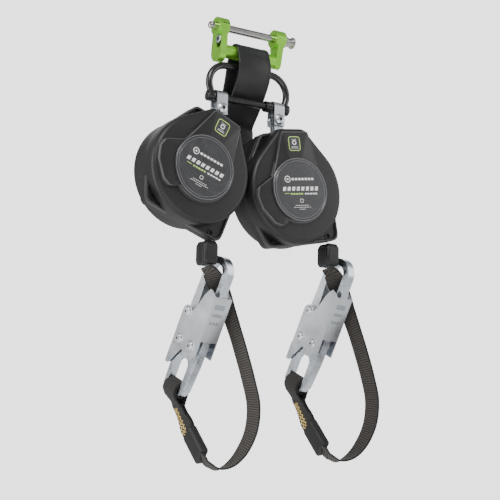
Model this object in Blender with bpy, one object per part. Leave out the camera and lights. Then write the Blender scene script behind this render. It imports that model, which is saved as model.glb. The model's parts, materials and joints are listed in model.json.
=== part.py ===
"""Twin-leg self retracting lifeline with a quick-release connector and two tie-back hooks.

Sizes are in millimetres, in the frame whose origin is the middle of the lock pin: +X runs along the
pin to its head, -Y is the front of the lifeline units and +Z is up.
"""

import math

import bmesh
import bpy
from mathutils import Matrix, Vector, geometry

MM = 0.001
GAP = 0.3

# Connector
PIN_RADIUS = 5.0
BOSS_RADIUS = 12.5
BOSS_CENTRE_X = 45.0
BOSS_LENGTH = 15.0
PIN_LEFT_END = -64.0
PIN_HEAD_START = 53.2
PIN_HEAD_END = 71.0
PIN_HEAD_RADIUS = 8.5
ARM_THICKNESS = 9.0
ARM_FOOT_Z = -34.0
ARM_FOOT_RADIUS = 13.5
RIGHT_FOOT_RADIUS = 6.8
CROSS_BOLT_Y = 3.0
CROSS_BOLT_Z = -31.0
CROSS_BOLT_RADIUS = 4.0
SPACER_RADIUS = 9.0
SLIDER_Y = -3.0
SLIDER_Z = -18.0
SLIDER_RADIUS = 5.8
SLIDER_TRAVEL = 5.0

# Strap loop and energy absorber
STRAP_WIDTH = 50.0
STRAP_THICKNESS = 3.0
PACK_WIDTH = 54.0
PACK_CENTRE_X = 8.0
PACK_FRONT_Y = 36.0
PACK_BACK_Y = 52.0
PACK_TOP_Z = -117.0
PACK_BOTTOM_Z = -226.0
STRAP_FRONT = (
    (8.0, 37.0, -114.0),
    (7.5, 27.0, -104.0),
    (6.5, 16.5, -93.5),
    (5.0, 4.0, -80.0),
    (3.5, -7.0, -66.0),
    (2.5, -12.5, -52.0),
    (2.0, -11.5, -40.0),
)
STRAP_BACK = (
    (2.0, 19.0, -46.0),
    (3.0, 24.0, -60.0),
    (4.0, 30.0, -74.0),
    (5.5, 36.0, -88.0),
    (7.0, 40.5, -102.0),
    (8.0, 43.0, -114.0),
)

# Shackle
BOW_TOP_Z = -52.0
BOW_ROD_RADIUS = 4.7
BOW_HALF_WIDTH = 60.6
BOW_CORNER_RADIUS = 26.0
BOW_TUCK = 25.0
LUG_RADIUS = 7.6
LUG_HALF_LENGTH = 4.2
COLLAR_START = 26.0
COLLAR_LENGTH = 10.0
COLLAR_RADIUS = 7.5
BAR_Z = -97.0
BAR_RADIUS = 4.8
LINK_X = (-44.5, 45.0)

# Links and lifeline units
BOLT_DROP = 17.0
BOLT_RADIUS = 4.0
LINK_WIDTH = 16.0
LINK_SHEET = 2.8
UNIT_ROLL = (24.0, -9.0)
CASE_RADIUS = 72.0
CASE_CENTRE_Z = -101.0
CASE_FRONT_Y = -32.0
CASE_SPLIT_Y = -6.0
CASE_BACK_Y = 27.0
CASE_WALL = 2.5
FLANGE_THICKNESS = 5.0
PANEL_HEIGHT = 4.0
DISC_RADIUS = 43.0
DISC_THICKNESS = 2.0
SHAFT_RADIUS = 5.0
DRUM_FLANGE_RADIUS = 56.0
DRUM_CORE_RADIUS = 21.0
WOUND_RADIUS = 45.0
OUTLET_X = 58.0
OUTLET_Z = -69.0
NECK_CUT = ((-20, -12, 60), (20, 12, 100))
OUTLET_CUT = ((-18, -11, -14), (8, 11, 12))

# Webbing legs, each in the frame of its outlet
LEG_Y = -6.0
WEB_WIDTH = 25.0
WEB_THICKNESS = 2.6
BUMPER_HALF_WIDTH = 9.6
BUMPER_HALF_DEPTH = 13.5
BUMPER_HEIGHT = 32.0
WEB_ROUTE = (
    (0.0, 0.0, -33.6),
    (0.5, -0.2, -36.5),
    (6.5, -2.0, -42.0),
    (18.9, 5.0, -53.6),
    (31.5, 13.2, -62.5),
    (42.0, 13.5, -84.0),
    (50.0, 8.0, -112.0),
    (58.0, 3.0, -142.0),
    (68.0, 1.0, -175.0),
    (78.5, 5.0, -205.0),
    (80.0, 11.0, -235.5),
    (72.5, 18.0, -261.0),
    (61.0, 26.0, -278.5),
    (47.5, 35.0, -286.0),
    (37.0, 44.0, -281.0),
    (30.0, 53.0, -269.5),
)
WEB_SIDE = (
    (0.0, 1.0, 0.0),
    (0.0, 1.0, 0.0),
    (-0.4, 0.85, -0.1),
    (-0.67, 0.66, -0.36),
    (-0.6, 0.78, -0.1),
    (-0.3, 0.95, 0.0),
    (-0.17, 0.98, 0.0),
    (-0.17, 0.98, 0.0),
    (-0.17, 0.98, 0.0),
    (-0.17, 0.98, 0.0),
    (-0.17, 0.98, 0.0),
    (-0.17, 0.98, 0.0),
    (-0.1, 1.0, 0.0),
    (0.0, 1.0, 0.0),
    (0.0, 1.0, 0.2),
    (0.0, 1.0, 0.4),
)

# Tie-back hook, in its own plane: p runs to the spine, q to the eye, n to the near side
HOOK_ORIGIN = (11.0, 42.9, -87.0)
HOOK_P = (0.186, -0.874, -0.449)
HOOK_Q = (-0.093, 0.440, -0.893)
HOOK_THICKNESS = 12.0
GUARD_HALF_WIDTH = 15.0
GUARD_SHEET = 2.0
RIVET_RADIUS = 4.0
LEVER_PIVOT = (0.7, 37.0)
BODY_RIVET = (26.0, 38.0)
EYE_BAR = (12.0, 101.0)
BUSHING_RADIUS = 9.6
BUSHING_BORE = 8.2
SEWN_RADIUS = 12.8
SEWN_THICKNESS = 7.0
SEWN_GAP = 2.3
TAIL_TURN = 30.0
SEWN_ROUTE = ((22.5, 86.0, -220.0), (25.5, 76.0, -238.5), (27.5, 64.0, -255.5))

STEEL = ((0.62, 0.64, 0.66), 0.3, 1.0)
ZINC = ((0.66, 0.69, 0.73), 0.35, 1.0)
GREEN = ((0.33, 0.56, 0.10), 0.35, 0.8)
BLACK_STEEL = ((0.015, 0.015, 0.016), 0.2, 0.6)
CASE_PLASTIC = ((0.045, 0.045, 0.048), 0.5, 0.0)
LABEL_GREY = ((0.10, 0.10, 0.105), 0.35, 0.1)
BLACK_WEB = ((0.012, 0.012, 0.013), 0.8, 0.0)
BROWN_WEB = ((0.06, 0.055, 0.05), 0.85, 0.0)
RUBBER = ((0.015, 0.015, 0.015), 0.6, 0.0)


# Outlines


def arc(centre, radius, start, stop, steps):
    """Points on an arc from start to stop degrees."""
    angles = [math.radians(start + (stop - start) * i / steps) for i in range(steps + 1)]
    return [(centre[0] + radius * math.cos(a), centre[1] + radius * math.sin(a)) for a in angles]


def circle(centre, radius, steps=24):
    return arc(centre, radius, 0, 360, steps)[:-1]


def hull_of(*loops):
    """The outline of a belt pulled round the given loops, counter-clockwise."""
    points = [Vector(point) for loop in loops for point in loop]
    loop = [tuple(points[i]) for i in geometry.convex_hull_2d(points)]
    return loop if signed_area(loop) > 0 else loop[::-1]


def signed_area(loop):
    pairs = zip(loop, loop[1:] + loop[:1])
    return sum(a[0] * b[1] - b[0] * a[1] for a, b in pairs) / 2


def inset(loop, distance):
    """A counter-clockwise outline moved inwards by a distance, point by point."""
    inner = []
    for i, point in enumerate(loop):
        before = Vector(loop[i - 1])
        after = Vector(loop[(i + 1) % len(loop)])
        here = Vector(point)
        side_a = (here - before).normalized()
        side_b = (after - here).normalized()
        normal = Vector((-side_a.y - side_b.y, side_a.x + side_b.x)).normalized()
        reach = distance / max(0.5, normal.dot(Vector((-side_a.y, side_a.x))))
        inner.append(tuple(here + normal * reach))
    return inner


# Solids


def solid(verts, faces):
    bm = bmesh.new()
    made = [bm.verts.new(Vector(v) * MM) for v in verts]
    for face in faces:
        bm.faces.new([made[i] for i in face])
    bmesh.ops.recalc_face_normals(bm, faces=bm.faces)
    return bm


def prism(outline, low, high, holes=(), axes="xyz"):
    """An outline with holes, extruded from low to high; axes names what u, v and the depth run along."""
    loops = [list(outline)] + [list(hole) for hole in holes]
    flat = [point for loop in loops for point in loop]
    place = {letter: i for i, letter in enumerate(axes)}
    verts = []
    for depth in (low, high):
        for u, v in flat:
            triple = (u, v, depth)
            verts.append(tuple(triple[place[letter]] for letter in "xyz"))
    count = len(flat)
    faces = []
    flat = [[Vector((u, v, 0)) for u, v in loop] for loop in loops]
    for triangle in geometry.tessellate_polygon(flat):
        faces.append(triangle)
        faces.append([i + count for i in reversed(triangle)])
    start = 0
    for loop in loops:
        for i in range(len(loop)):
            a = start + i
            b = start + (i + 1) % len(loop)
            faces.append((a, b, b + count, a + count))
        start += len(loop)
    return solid(verts, faces)


def lathe(profile, axis="x", steps=24, centre=(0, 0, 0)):
    """A closed (along, radius) profile turned about an axis; a radius of 0 becomes one point."""
    letters = {"x": (0, 1, 2), "y": (1, 2, 0), "z": (2, 0, 1)}[axis]
    verts = []
    rings = []
    for along, radius in profile:
        ring = []
        for i in range(steps if radius > 0 else 1):
            angle = math.tau * i / steps
            place = [0.0, 0.0, 0.0]
            place[letters[0]] = along
            place[letters[1]] = radius * math.cos(angle)
            place[letters[2]] = radius * math.sin(angle)
            ring.append(len(verts))
            verts.append(tuple(Vector(place) + Vector(centre)))
        rings.append(ring)
    faces = []
    closed = all(radius > 0 for _, radius in profile)
    pairs = list(zip(rings, rings[1:] + rings[:1])) if closed else list(zip(rings, rings[1:]))
    for lower, upper in pairs:
        for i in range(steps):
            j = (i + 1) % steps
            corners = [
                lower[i % len(lower)],
                lower[j % len(lower)],
                upper[j % len(upper)],
                upper[i % len(upper)],
            ]
            faces.append(list(dict.fromkeys(corners)))
    return solid(verts, faces)


def rod(start, stop, radius, steps=16):
    """A plain round rod between two points."""
    start = Vector(start)
    stop = Vector(stop)
    turn = (stop - start).to_track_quat("Z", "Y")
    verts = []
    for end in (start, stop):
        for u, v in circle((0, 0), radius, steps):
            verts.append(tuple(end + turn @ Vector((u, v, 0))))
    faces = [range(steps), range(2 * steps - 1, steps - 1, -1)]
    faces += [(i, (i + 1) % steps, steps + (i + 1) % steps, steps + i) for i in range(steps)]
    return solid(verts, [list(face) for face in faces])


def box(low, high):
    outline = [(low[0], low[1]), (high[0], low[1]), (high[0], high[1]), (low[0], high[1])]
    return prism(outline, low[2], high[2])


def sweep(points, sides, section):
    """A section (across, through) carried along points; sides gives each point's across direction."""
    verts = []
    for i, point in enumerate(points):
        along = (points[min(i + 1, len(points) - 1)] - points[max(i - 1, 0)]).normalized()
        across = (sides[i] - along * sides[i].dot(along)).normalized()
        through = along.cross(across)
        for u, v in section:
            verts.append(tuple(point + across * u + through * v))
    size = len(section)
    faces = [list(range(size)), list(range(len(verts) - size, len(verts)))]
    for k in range(len(points) - 1):
        for i in range(size):
            j = (i + 1) % size
            faces.append((k * size + i, k * size + j, (k + 1) * size + j, (k + 1) * size + i))
    return solid(verts, faces)


def smooth_route(route, steps):
    """A Catmull-Rom curve through the route's points."""
    ends = [2 * route[0] - route[1]] + list(route) + [2 * route[-1] - route[-2]]
    points = []
    for i in range(1, len(ends) - 2):
        a, b, c, d = ends[i - 1 : i + 3]
        for k in range(steps):
            t = k / steps
            points.append(
                0.5 * (
                    2 * b
                    + (c - a) * t
                    + (2 * a - 5 * b + 4 * c - d) * t**2
                    + (3 * b - a - 3 * c + d) * t**3
                )
            )
    points.append(route[-1])
    return points


def strip_section(width, thickness):
    w = width / 2
    t = thickness / 2
    return [(-w, -t), (w, -t), (w, t), (-w, t)]


def spiral(inner, outer, turns, width_low, width_high, thickness, steps=18):
    """A flat coil spring: a band wound about the Y axis."""
    count = int(turns * steps)
    points = []
    for i in range(count + 1):
        radius = inner + (outer - inner) * i / count
        angle = math.tau * i / steps
        points.append(Vector((radius * math.cos(angle), 0, radius * math.sin(angle))))
    middle = (width_low + width_high) / 2
    points = [p + Vector((0, middle, 0)) for p in points]
    sides = [Vector((0, 1, 0))] * len(points)
    return sweep(points, sides, strip_section(width_high - width_low, thickness))


# Objects


def finish_of(name, look):
    material = bpy.data.materials.get(name)
    if material:
        return material
    colour, roughness, metallic = look
    material = bpy.data.materials.new(name)
    material.use_nodes = True
    shader = material.node_tree.nodes["Principled BSDF"]
    shader.inputs["Base Color"].default_value = (*colour, 1.0)
    shader.inputs["Roughness"].default_value = roughness
    shader.inputs["Metallic"].default_value = metallic
    return material


def frame_at(name, place, parent=None, turn=(0, 0, 0)):
    """An empty at a joint's axis, placed in millimetres."""
    empty = bpy.data.objects.new(name, None)
    bpy.context.collection.objects.link(empty)
    empty.parent = parent
    empty.location = Vector(place) * MM
    empty.rotation_euler = turn
    return empty


def part(name, bm, look, parent=None, place=(0, 0, 0), sharp=35):
    """One named sub-part, made of a solid in its parent's frame."""
    mesh = bpy.data.meshes.new(name)
    bm.to_mesh(mesh)
    bm.free()
    mesh.shade_smooth()
    mesh.set_sharp_from_angle(angle=math.radians(sharp))
    obj = bpy.data.objects.new(name, mesh)
    bpy.context.collection.objects.link(obj)
    obj.parent = parent
    obj.location = Vector(place) * MM
    mesh.materials.append(finish_of(look[0], look[1]))
    return obj


def combine(obj, bm, operation):
    """Joins a solid to an object, or cuts it out, with a Boolean modifier."""
    mesh = bpy.data.meshes.new(f"{obj.name}_tool")
    bm.to_mesh(mesh)
    bm.free()
    tool = bpy.data.objects.new(mesh.name, mesh)
    bpy.context.collection.objects.link(tool)
    tool.parent = obj.parent
    tool.location = obj.location
    tool.hide_render = True
    tool.display_type = "WIRE"
    modifier = obj.modifiers.new(operation.lower(), "BOOLEAN")
    modifier.operation = operation
    modifier.object = tool
    modifier.solver = "EXACT"


def cut(obj, *solids):
    for bm in solids:
        combine(obj, bm, "DIFFERENCE")


def join(obj, *solids):
    for bm in solids:
        combine(obj, bm, "UNION")


# The connector


def make_connector(frame):
    half = BOSS_LENGTH / 2
    foot = (CROSS_BOLT_Y, ARM_FOOT_Z)
    bolt_hole = rod(
        (-BOSS_CENTRE_X - 1, CROSS_BOLT_Y, CROSS_BOLT_Z),
        (BOSS_CENTRE_X + 1, CROSS_BOLT_Y, CROSS_BOLT_Z),
        CROSS_BOLT_RADIUS + GAP,
    )
    hole = circle((0, 0), PIN_RADIUS + GAP)
    for side, name in ((-1, "left_arm"), (1, "right_arm")):
        foot_radius = ARM_FOOT_RADIUS if side < 0 else RIGHT_FOOT_RADIUS
        outline = hull_of(circle((0, 0), BOSS_RADIUS - 1), circle(foot, foot_radius))
        inner = side * (BOSS_CENTRE_X - ARM_THICKNESS / 2)
        outer = side * (BOSS_CENTRE_X + ARM_THICKNESS / 2)
        arm = part(
            name,
            prism(outline, min(inner, outer), max(inner, outer), [hole], "yzx"),
            ("green_anodised", GREEN),
            frame,
        )
        boss = side * BOSS_CENTRE_X
        ring = prism(circle((0, 0), BOSS_RADIUS), boss - half, boss + half, [hole], "yzx")
        join(arm, ring)
        cut(arm, bolt_hole.copy())
        if side < 0:
            top = circle((SLIDER_Y, SLIDER_Z), SLIDER_RADIUS + GAP)
            bottom = circle((SLIDER_Y, SLIDER_Z - SLIDER_TRAVEL - 1), SLIDER_RADIUS + GAP)
            cut(arm, prism(hull_of(top, bottom), outer - 5, outer + 5, (), "yzx"))
    bolt_hole.free()

    part("cross_bolt", rod(
        (-BOSS_CENTRE_X - 0.5, CROSS_BOLT_Y, CROSS_BOLT_Z),
        (BOSS_CENTRE_X + 0.5, CROSS_BOLT_Y, CROSS_BOLT_Z),
        CROSS_BOLT_RADIUS,
    ), ("steel", STEEL), frame)
    spacer_half = BOSS_CENTRE_X - ARM_THICKNESS / 2 - GAP
    spacer = prism(
        circle((CROSS_BOLT_Y, CROSS_BOLT_Z), SPACER_RADIUS),
        -spacer_half,
        spacer_half,
        [circle((CROSS_BOLT_Y, CROSS_BOLT_Z), CROSS_BOLT_RADIUS + GAP, 16)],
        "yzx",
    )
    part("bolt_spacer", spacer, ("green_anodised", GREEN), frame)

    nub = [(PIN_LEFT_END, 0), (PIN_LEFT_END + 0.8, 3.2), (PIN_LEFT_END + 3, PIN_RADIUS)]
    head = [
        (PIN_HEAD_START, PIN_RADIUS),
        (PIN_HEAD_START + 0.3, PIN_HEAD_RADIUS),
        (PIN_HEAD_START + 4, PIN_HEAD_RADIUS),
        (PIN_HEAD_START + 5.5, 6.2),
        (PIN_HEAD_END - 5, 6.2),
        (PIN_HEAD_END - 3.5, 8.0),
        (PIN_HEAD_END - 1, 8.0),
        (PIN_HEAD_END, 6.5),
        (PIN_HEAD_END, 0),
    ]
    part("lock_pin", lathe(nub + head, "x"), ("pin_steel", STEEL), frame)

    face = -(BOSS_CENTRE_X + ARM_THICKNESS / 2)
    knob = [(face - 1.4, 0), (face - 1.4, SLIDER_RADIUS - 0.6), (face - 0.8, SLIDER_RADIUS),
            (face + 4.4, SLIDER_RADIUS), (face + 4.4, 0)]
    part("lock_slider", lathe(knob[::-1], "x", 20), ("steel", STEEL), frame, (0, SLIDER_Y, SLIDER_Z))


def make_strap(frame):
    """The wide strap loop round the spacer, and the folded energy absorber below it."""
    radius = SPACER_RADIUS + 3 * GAP + STRAP_THICKNESS / 2
    centre = Vector((STRAP_FRONT[-1][0], CROSS_BOLT_Y, CROSS_BOLT_Z))
    front = [Vector(point) for point in STRAP_FRONT]
    over = [centre + Vector((0, radius * math.cos(a), radius * math.sin(a)))
            for a in (math.radians(d) for d in (180, 150, 120, 90, 60, 30, 0))]
    back = [Vector(point) for point in STRAP_BACK]
    points = smooth_route(front + over + back, 2)
    sides = [Vector((1, 0, 0))] * len(points)
    strap = sweep(points, sides, strip_section(STRAP_WIDTH, STRAP_THICKNESS))
    part("strap_loop", strap, ("black_webbing", BLACK_WEB), frame)
    low = (PACK_CENTRE_X - PACK_WIDTH / 2, PACK_FRONT_Y, PACK_BOTTOM_Z)
    high = (PACK_CENTRE_X + PACK_WIDTH / 2, PACK_BACK_Y, PACK_TOP_Z)
    pack = box(low, high)
    bmesh.ops.bevel(
        pack,
        geom=pack.edges[:],
        offset=4 * MM,
        segments=2,
        affect="EDGES",
        profile=0.5,
    )
    part("absorber_pack", pack, ("black_webbing", BLACK_WEB), frame)


def make_shackle(frame):
    """The bow, its screw pin and the pin's collar, in the frame of the bow's top rod."""
    drop = BAR_Z - BOW_TOP_Z
    w = BOW_HALF_WIDTH
    r = BOW_CORNER_RADIUS
    left = arc((-w + r, -r), r, 180 + BOW_TUCK, 90, 9)
    right = [(-x, z) for x, z in left[::-1]]
    foot = drop + 4.5
    lug = -left[0][0]
    outline = [(-lug, foot)] + left + right + [(lug, foot)]
    points = [Vector((x, 0, z)) for x, z in outline]
    sides = [Vector((0, 1, 0))] * len(points)
    black = ("black_steel", BLACK_STEEL)
    bent_rod = sweep(points, sides, circle((0, 0), BOW_ROD_RADIUS, 12))
    bow = part("shackle_bow", bent_rod, black, frame)
    for middle in (-lug, lug):
        low = middle - LUG_HALF_LENGTH
        high = middle + LUG_HALF_LENGTH
        join(bow, prism(circle((0, drop), LUG_RADIUS), low, high, (), "yzx"))
    cut(bow, rod((-2 * w, 0, drop), (2 * w, 0, drop), BAR_RADIUS + GAP, 24))
    end = lug + LUG_HALF_LENGTH + 0.6
    pin = [
        (-end, 0),
        (-end, BAR_RADIUS - 1),
        (-end + 1, BAR_RADIUS),
        (end - 1, BAR_RADIUS),
        (end, BAR_RADIUS - 1),
        (end, 0),
    ]
    part("shackle_pin", lathe(pin, "x", 20, (0, 0, drop)), black, frame)
    start = COLLAR_START
    stop = COLLAR_START + COLLAR_LENGTH
    bore = BAR_RADIUS + GAP
    collar = [
        (start, bore),
        (start, COLLAR_RADIUS),
        (start + 4.5, COLLAR_RADIUS),
        (start + 5.2, COLLAR_RADIUS - 0.9),
        (start + 5.9, COLLAR_RADIUS),
        (stop, COLLAR_RADIUS),
        (stop, bore),
    ]
    part("shackle_collar", lathe(collar, "x", 20, (0, 0, drop)), black, frame)


# A lifeline unit


def make_link(side, frame):
    """The strap link over the shackle pin, and the bolt through its lower ends."""
    inner = BAR_RADIUS + 1.2
    outer = inner + LINK_SHEET
    half = LINK_WIDTH / 2
    over = arc((0, 0), outer, 0, 180, 12)
    under = arc((0, 0), inner, 180, 0, 12)
    foot = -BOLT_DROP - 8
    outline = over + [(-outer, foot), (-inner, foot)] + under + [(inner, foot), (outer, foot)]
    link = part(f"link_{side}", prism(outline, -half, half, (), "yzx"), ("zinc", ZINC), frame)
    cut(link, rod((0, -20, -BOLT_DROP), (0, 20, -BOLT_DROP), BOLT_RADIUS + GAP))
    return outer


def make_link_bolt(side, frame, outer):
    head = [(-outer - 4.4, 0), (-outer - 4.0, 4), (-outer - 2.2, 7), (-outer - GAP, 7.6)]
    nut = [(outer + GAP, 6.5), (outer + 3.5, 6.5), (outer + 3.5, 0)]
    bolt = head + [(-outer - GAP, BOLT_RADIUS), (outer + GAP, BOLT_RADIUS)] + nut
    part(f"link_bolt_{side}", lathe(bolt, "y", 20), ("zinc", ZINC), frame)


def dome_outline():
    """The front cover's round dome with its flat top."""
    top = (circle((-16, 81), 4, 8), circle((21, 81), 4, 8))
    return hull_of(circle((0, 0), CASE_RADIUS, 36), *top)


def case_outline():
    """The back cover and its flange, with a lug at each screw."""
    lugs = (((-31, 74), 7), ((21, 79), 6), ((-38, -63), 9), ((63, -57), 9))
    rounds = [circle(place, radius, 12) for place, radius in lugs]
    return hull_of(circle((0, 0), CASE_RADIUS - 2, 36), *rounds)


def shell(outline, floor_out, floor_in, rim):
    """A tray of a given outline, open at its rim, with its depth along Y."""
    inner = inset(outline, CASE_WALL)
    count = len(outline)
    levels = ((outline, floor_out), (outline, rim), (inner, rim), (inner, floor_in))
    verts = [(x, y, z) for loop, y in levels for x, z in loop]
    faces = [list(range(count)), list(range(3 * count, 4 * count))]
    for level in range(3):
        for i in range(count):
            j = (i + 1) % count
            low = level * count
            high = low + count
            faces.append((low + i, low + j, high + j, high + i))
    return solid(verts, faces)


def raised_panel_outline():
    """The front panel: a trapezoid above the disc, the disc's rim and a lobe at lower left."""
    trapezoid = [(24, 80), (-18, 80), (-34, 30)]
    lobe = [(-46, 0)] + arc((-40, -22), 24, 150, 235, 5) + [(-30, -50)]
    rim = arc((0, 0), DISC_RADIUS + 3, 240, 400, 16)
    return trapezoid + lobe + rim


def make_unit(side, frame):
    """One lifeline unit in the frame of its bolt; a second empty marks the drum's axis."""
    centre = frame_at(f"drum_axis_{side}", (0, 0, CASE_CENTRE_Z), frame)
    outline = case_outline()
    plastic = ("case_plastic", CASE_PLASTIC)
    seam = GAP / 2
    dome = dome_outline()
    rim = CASE_SPLIT_Y - seam
    dome_shell = shell(dome, CASE_FRONT_Y, CASE_FRONT_Y + CASE_WALL, rim - 1)
    front = part(f"front_cover_{side}", dome_shell, plastic, centre)
    join(front, prism(outline, rim - FLANGE_THICKNESS, rim, [inset(dome, CASE_WALL - 1)], "xzy"))
    panel_face = CASE_FRONT_Y - PANEL_HEIGHT
    join(front, prism(raised_panel_outline(), panel_face, CASE_FRONT_Y + 1, (), "xzy"))
    back_shell = shell(outline, CASE_BACK_Y, CASE_BACK_Y - CASE_WALL, CASE_SPLIT_Y + seam)
    back = part(f"back_cover_{side}", back_shell, plastic, centre)
    outlet = [Vector(corner) + Vector((OUTLET_X, LEG_Y, OUTLET_Z)) for corner in OUTLET_CUT]
    for cover in (front, back):
        cut(cover, box(*NECK_CUT))
        cut(cover, box(*outlet))
    foot = panel_face - GAP
    disc = [
        (foot - DISC_THICKNESS, 0),
        (foot - DISC_THICKNESS, DISC_RADIUS - 1),
        (foot - DISC_THICKNESS + 1, DISC_RADIUS),
        (foot, DISC_RADIUS),
        (foot, 0),
    ]
    part(f"label_disc_{side}", lathe(disc, "y", 40), ("label_grey", LABEL_GREY), centre)

    make_anchor(side, centre)
    shaft = rod((0, CASE_FRONT_Y + 3, 0), (0, CASE_BACK_Y - 3, 0), SHAFT_RADIUS, 16)
    part(f"drum_shaft_{side}", shaft, ("steel", STEEL), centre)
    make_drum(side, centre)
    return centre


def make_anchor(side, centre):
    """The steel frame inside the case: two prongs on the bolt, two plates on the shaft."""
    bolt = (0, -CASE_CENTRE_Z)
    hole = circle((0, 0), SHAFT_RADIUS + GAP, 16)
    plate = hull_of(circle((0, 0), 12, 16), [(-15, 72), (15, 72)])
    front_y = CASE_FRONT_Y + CASE_WALL + 0.5
    back_y = CASE_BACK_Y - CASE_WALL - 0.5
    bridge = box((-15, front_y, 68), (15, back_y, 71.9))
    anchor = part(f"anchor_bracket_{side}", bridge, ("steel", STEEL), centre)
    join(anchor, prism(plate, front_y - 0.1, front_y + 2, [hole], "xzy"))
    join(anchor, prism(plate, back_y - 2, back_y + 0.1, [hole], "xzy"))
    prong = hull_of(circle(bolt, 7.2, 16), [(-8, 69), (8, 69)])
    for low, high in ((-5.4, -2.0), (2.0, 5.4)):
        join(anchor, prism(prong, low, high, [circle(bolt, BOLT_RADIUS + GAP, 16)], "xzy"))


def make_drum(side, centre):
    """The webbing drum, what is wound on it, its power spring and its centrifugal brake."""
    bore = SHAFT_RADIUS + GAP
    low = -19.5
    high = 7.5
    rim = DRUM_FLANGE_RADIUS
    drum = [
        (low - 2, bore),
        (low - 2, rim),
        (low, rim),
        (low, DRUM_CORE_RADIUS),
        (high, DRUM_CORE_RADIUS),
        (high, rim),
        (high + 2, rim),
        (high + 2, bore),
    ]
    spool = part(f"drum_{side}", lathe(drum, "y", 28), ("drum_plastic", LABEL_GREY), centre)
    inside = DRUM_CORE_RADIUS + GAP
    wound = [
        (low + 0.6, inside),
        (low + 0.6, WOUND_RADIUS),
        (high - 0.6, WOUND_RADIUS),
        (high - 0.6, inside),
    ]
    part(f"wound_webbing_{side}", lathe(wound, "y", 28), ("brown_webbing", BROWN_WEB), centre)
    coil = spiral(8, 46, 5, low - 6.4, low - 2.6, 1.0)
    part(f"power_spring_{side}", coil, ("spring_steel", STEEL), centre)
    teeth = 12
    inner = []
    for i in range(teeth):
        inner.append((58.5, 360 * i / teeth))
        inner.append((63.5, 360 * (i + 0.12) / teeth))
    toothed = [(r * math.cos(math.radians(a)), r * math.sin(math.radians(a))) for r, a in inner]
    ring = prism(circle((0, 0), 67, 36), high + 2.6, high + 6, [toothed], "xzy")
    part(f"brake_ring_{side}", ring, ("steel", STEEL), centre)
    for name, turn in (("pawl_a", 0), ("pawl_b", 180)):
        pivot = frame_at(f"{name}_pivot_{side}", (0, 0, 0), centre, (0, math.radians(turn), 0))
        hub = circle((40, 0), 6, 16)
        tip = [(41, 0), (44, -3), (47, -26), (42, -29), (35, -3)]
        outline = hull_of(hub, tip)
        pawl = prism(outline, high + 2.6, high + 5.8, [circle((40, 0), 2.5 + GAP, 12)], "xzy")
        part(f"{name}_{side}", pawl, ("steel", STEEL), pivot)
        post = 40 if turn == 0 else -40
        join(spool, rod((post, high + 1, 0), (post, high + 6.2, 0), 2.5, 12))


# A webbing leg with its hook


def make_leg(side, frame):
    w = BUMPER_HALF_WIDTH
    d = BUMPER_HALF_DEPTH
    bumper = box((-w, -d, -BUMPER_HEIGHT), (w, d, -1))
    bmesh.ops.bevel(
        bumper,
        geom=bumper.edges[:],
        offset=2.5 * MM,
        segments=2,
        affect="EDGES",
        profile=0.5,
    )
    part(f"bumper_{side}", bumper, ("rubber", RUBBER), frame)
    points = smooth_route([Vector(p) for p in WEB_ROUTE], 3)
    sides = smooth_route([Vector(s) for s in WEB_SIDE], 3)
    web = sweep(points, sides, strip_section(WEB_WIDTH, WEB_THICKNESS))
    part(f"lifeline_{side}", web, ("brown_webbing", BROWN_WEB), frame)


def hook_frame(side, leg):
    """An empty at the gate's pivot whose X, Y and Z run along p, q and n."""
    p = Vector(HOOK_P).normalized()
    q = Vector(HOOK_Q)
    q = (q - p * q.dot(p)).normalized()
    n = p.cross(q)
    turn = Matrix((p, q, n)).transposed().to_euler()
    return frame_at(f"hook_{side}", HOOK_ORIGIN, leg, turn)


def hook_outline():
    """Nose, arch, spine, shoulder and eye of the forged body."""
    arch_out = arc((17, -61), 22, 185, 360, 14)
    arch_in = arc((17, -61), 12.5, 360, 185, 12)
    spine = [(39, 30), (38, 62), (34, 98), (28, 106)]
    eye = [(-2, 106), (-8, 100), (-8, 58), (-3, 49), (13, 47), (13, 30), (29.5, 10)]
    return arch_out + spine + eye + arch_in


def guard_outline():
    lobe = arc((0, 0), 9, -20, -180, 8)
    horn = [(41.5, -35), (29, -42), (21, -31), (14.5, -11)]
    return horn + lobe + [(-9, 10), (-9, 47), (41.5, 49)]


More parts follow.
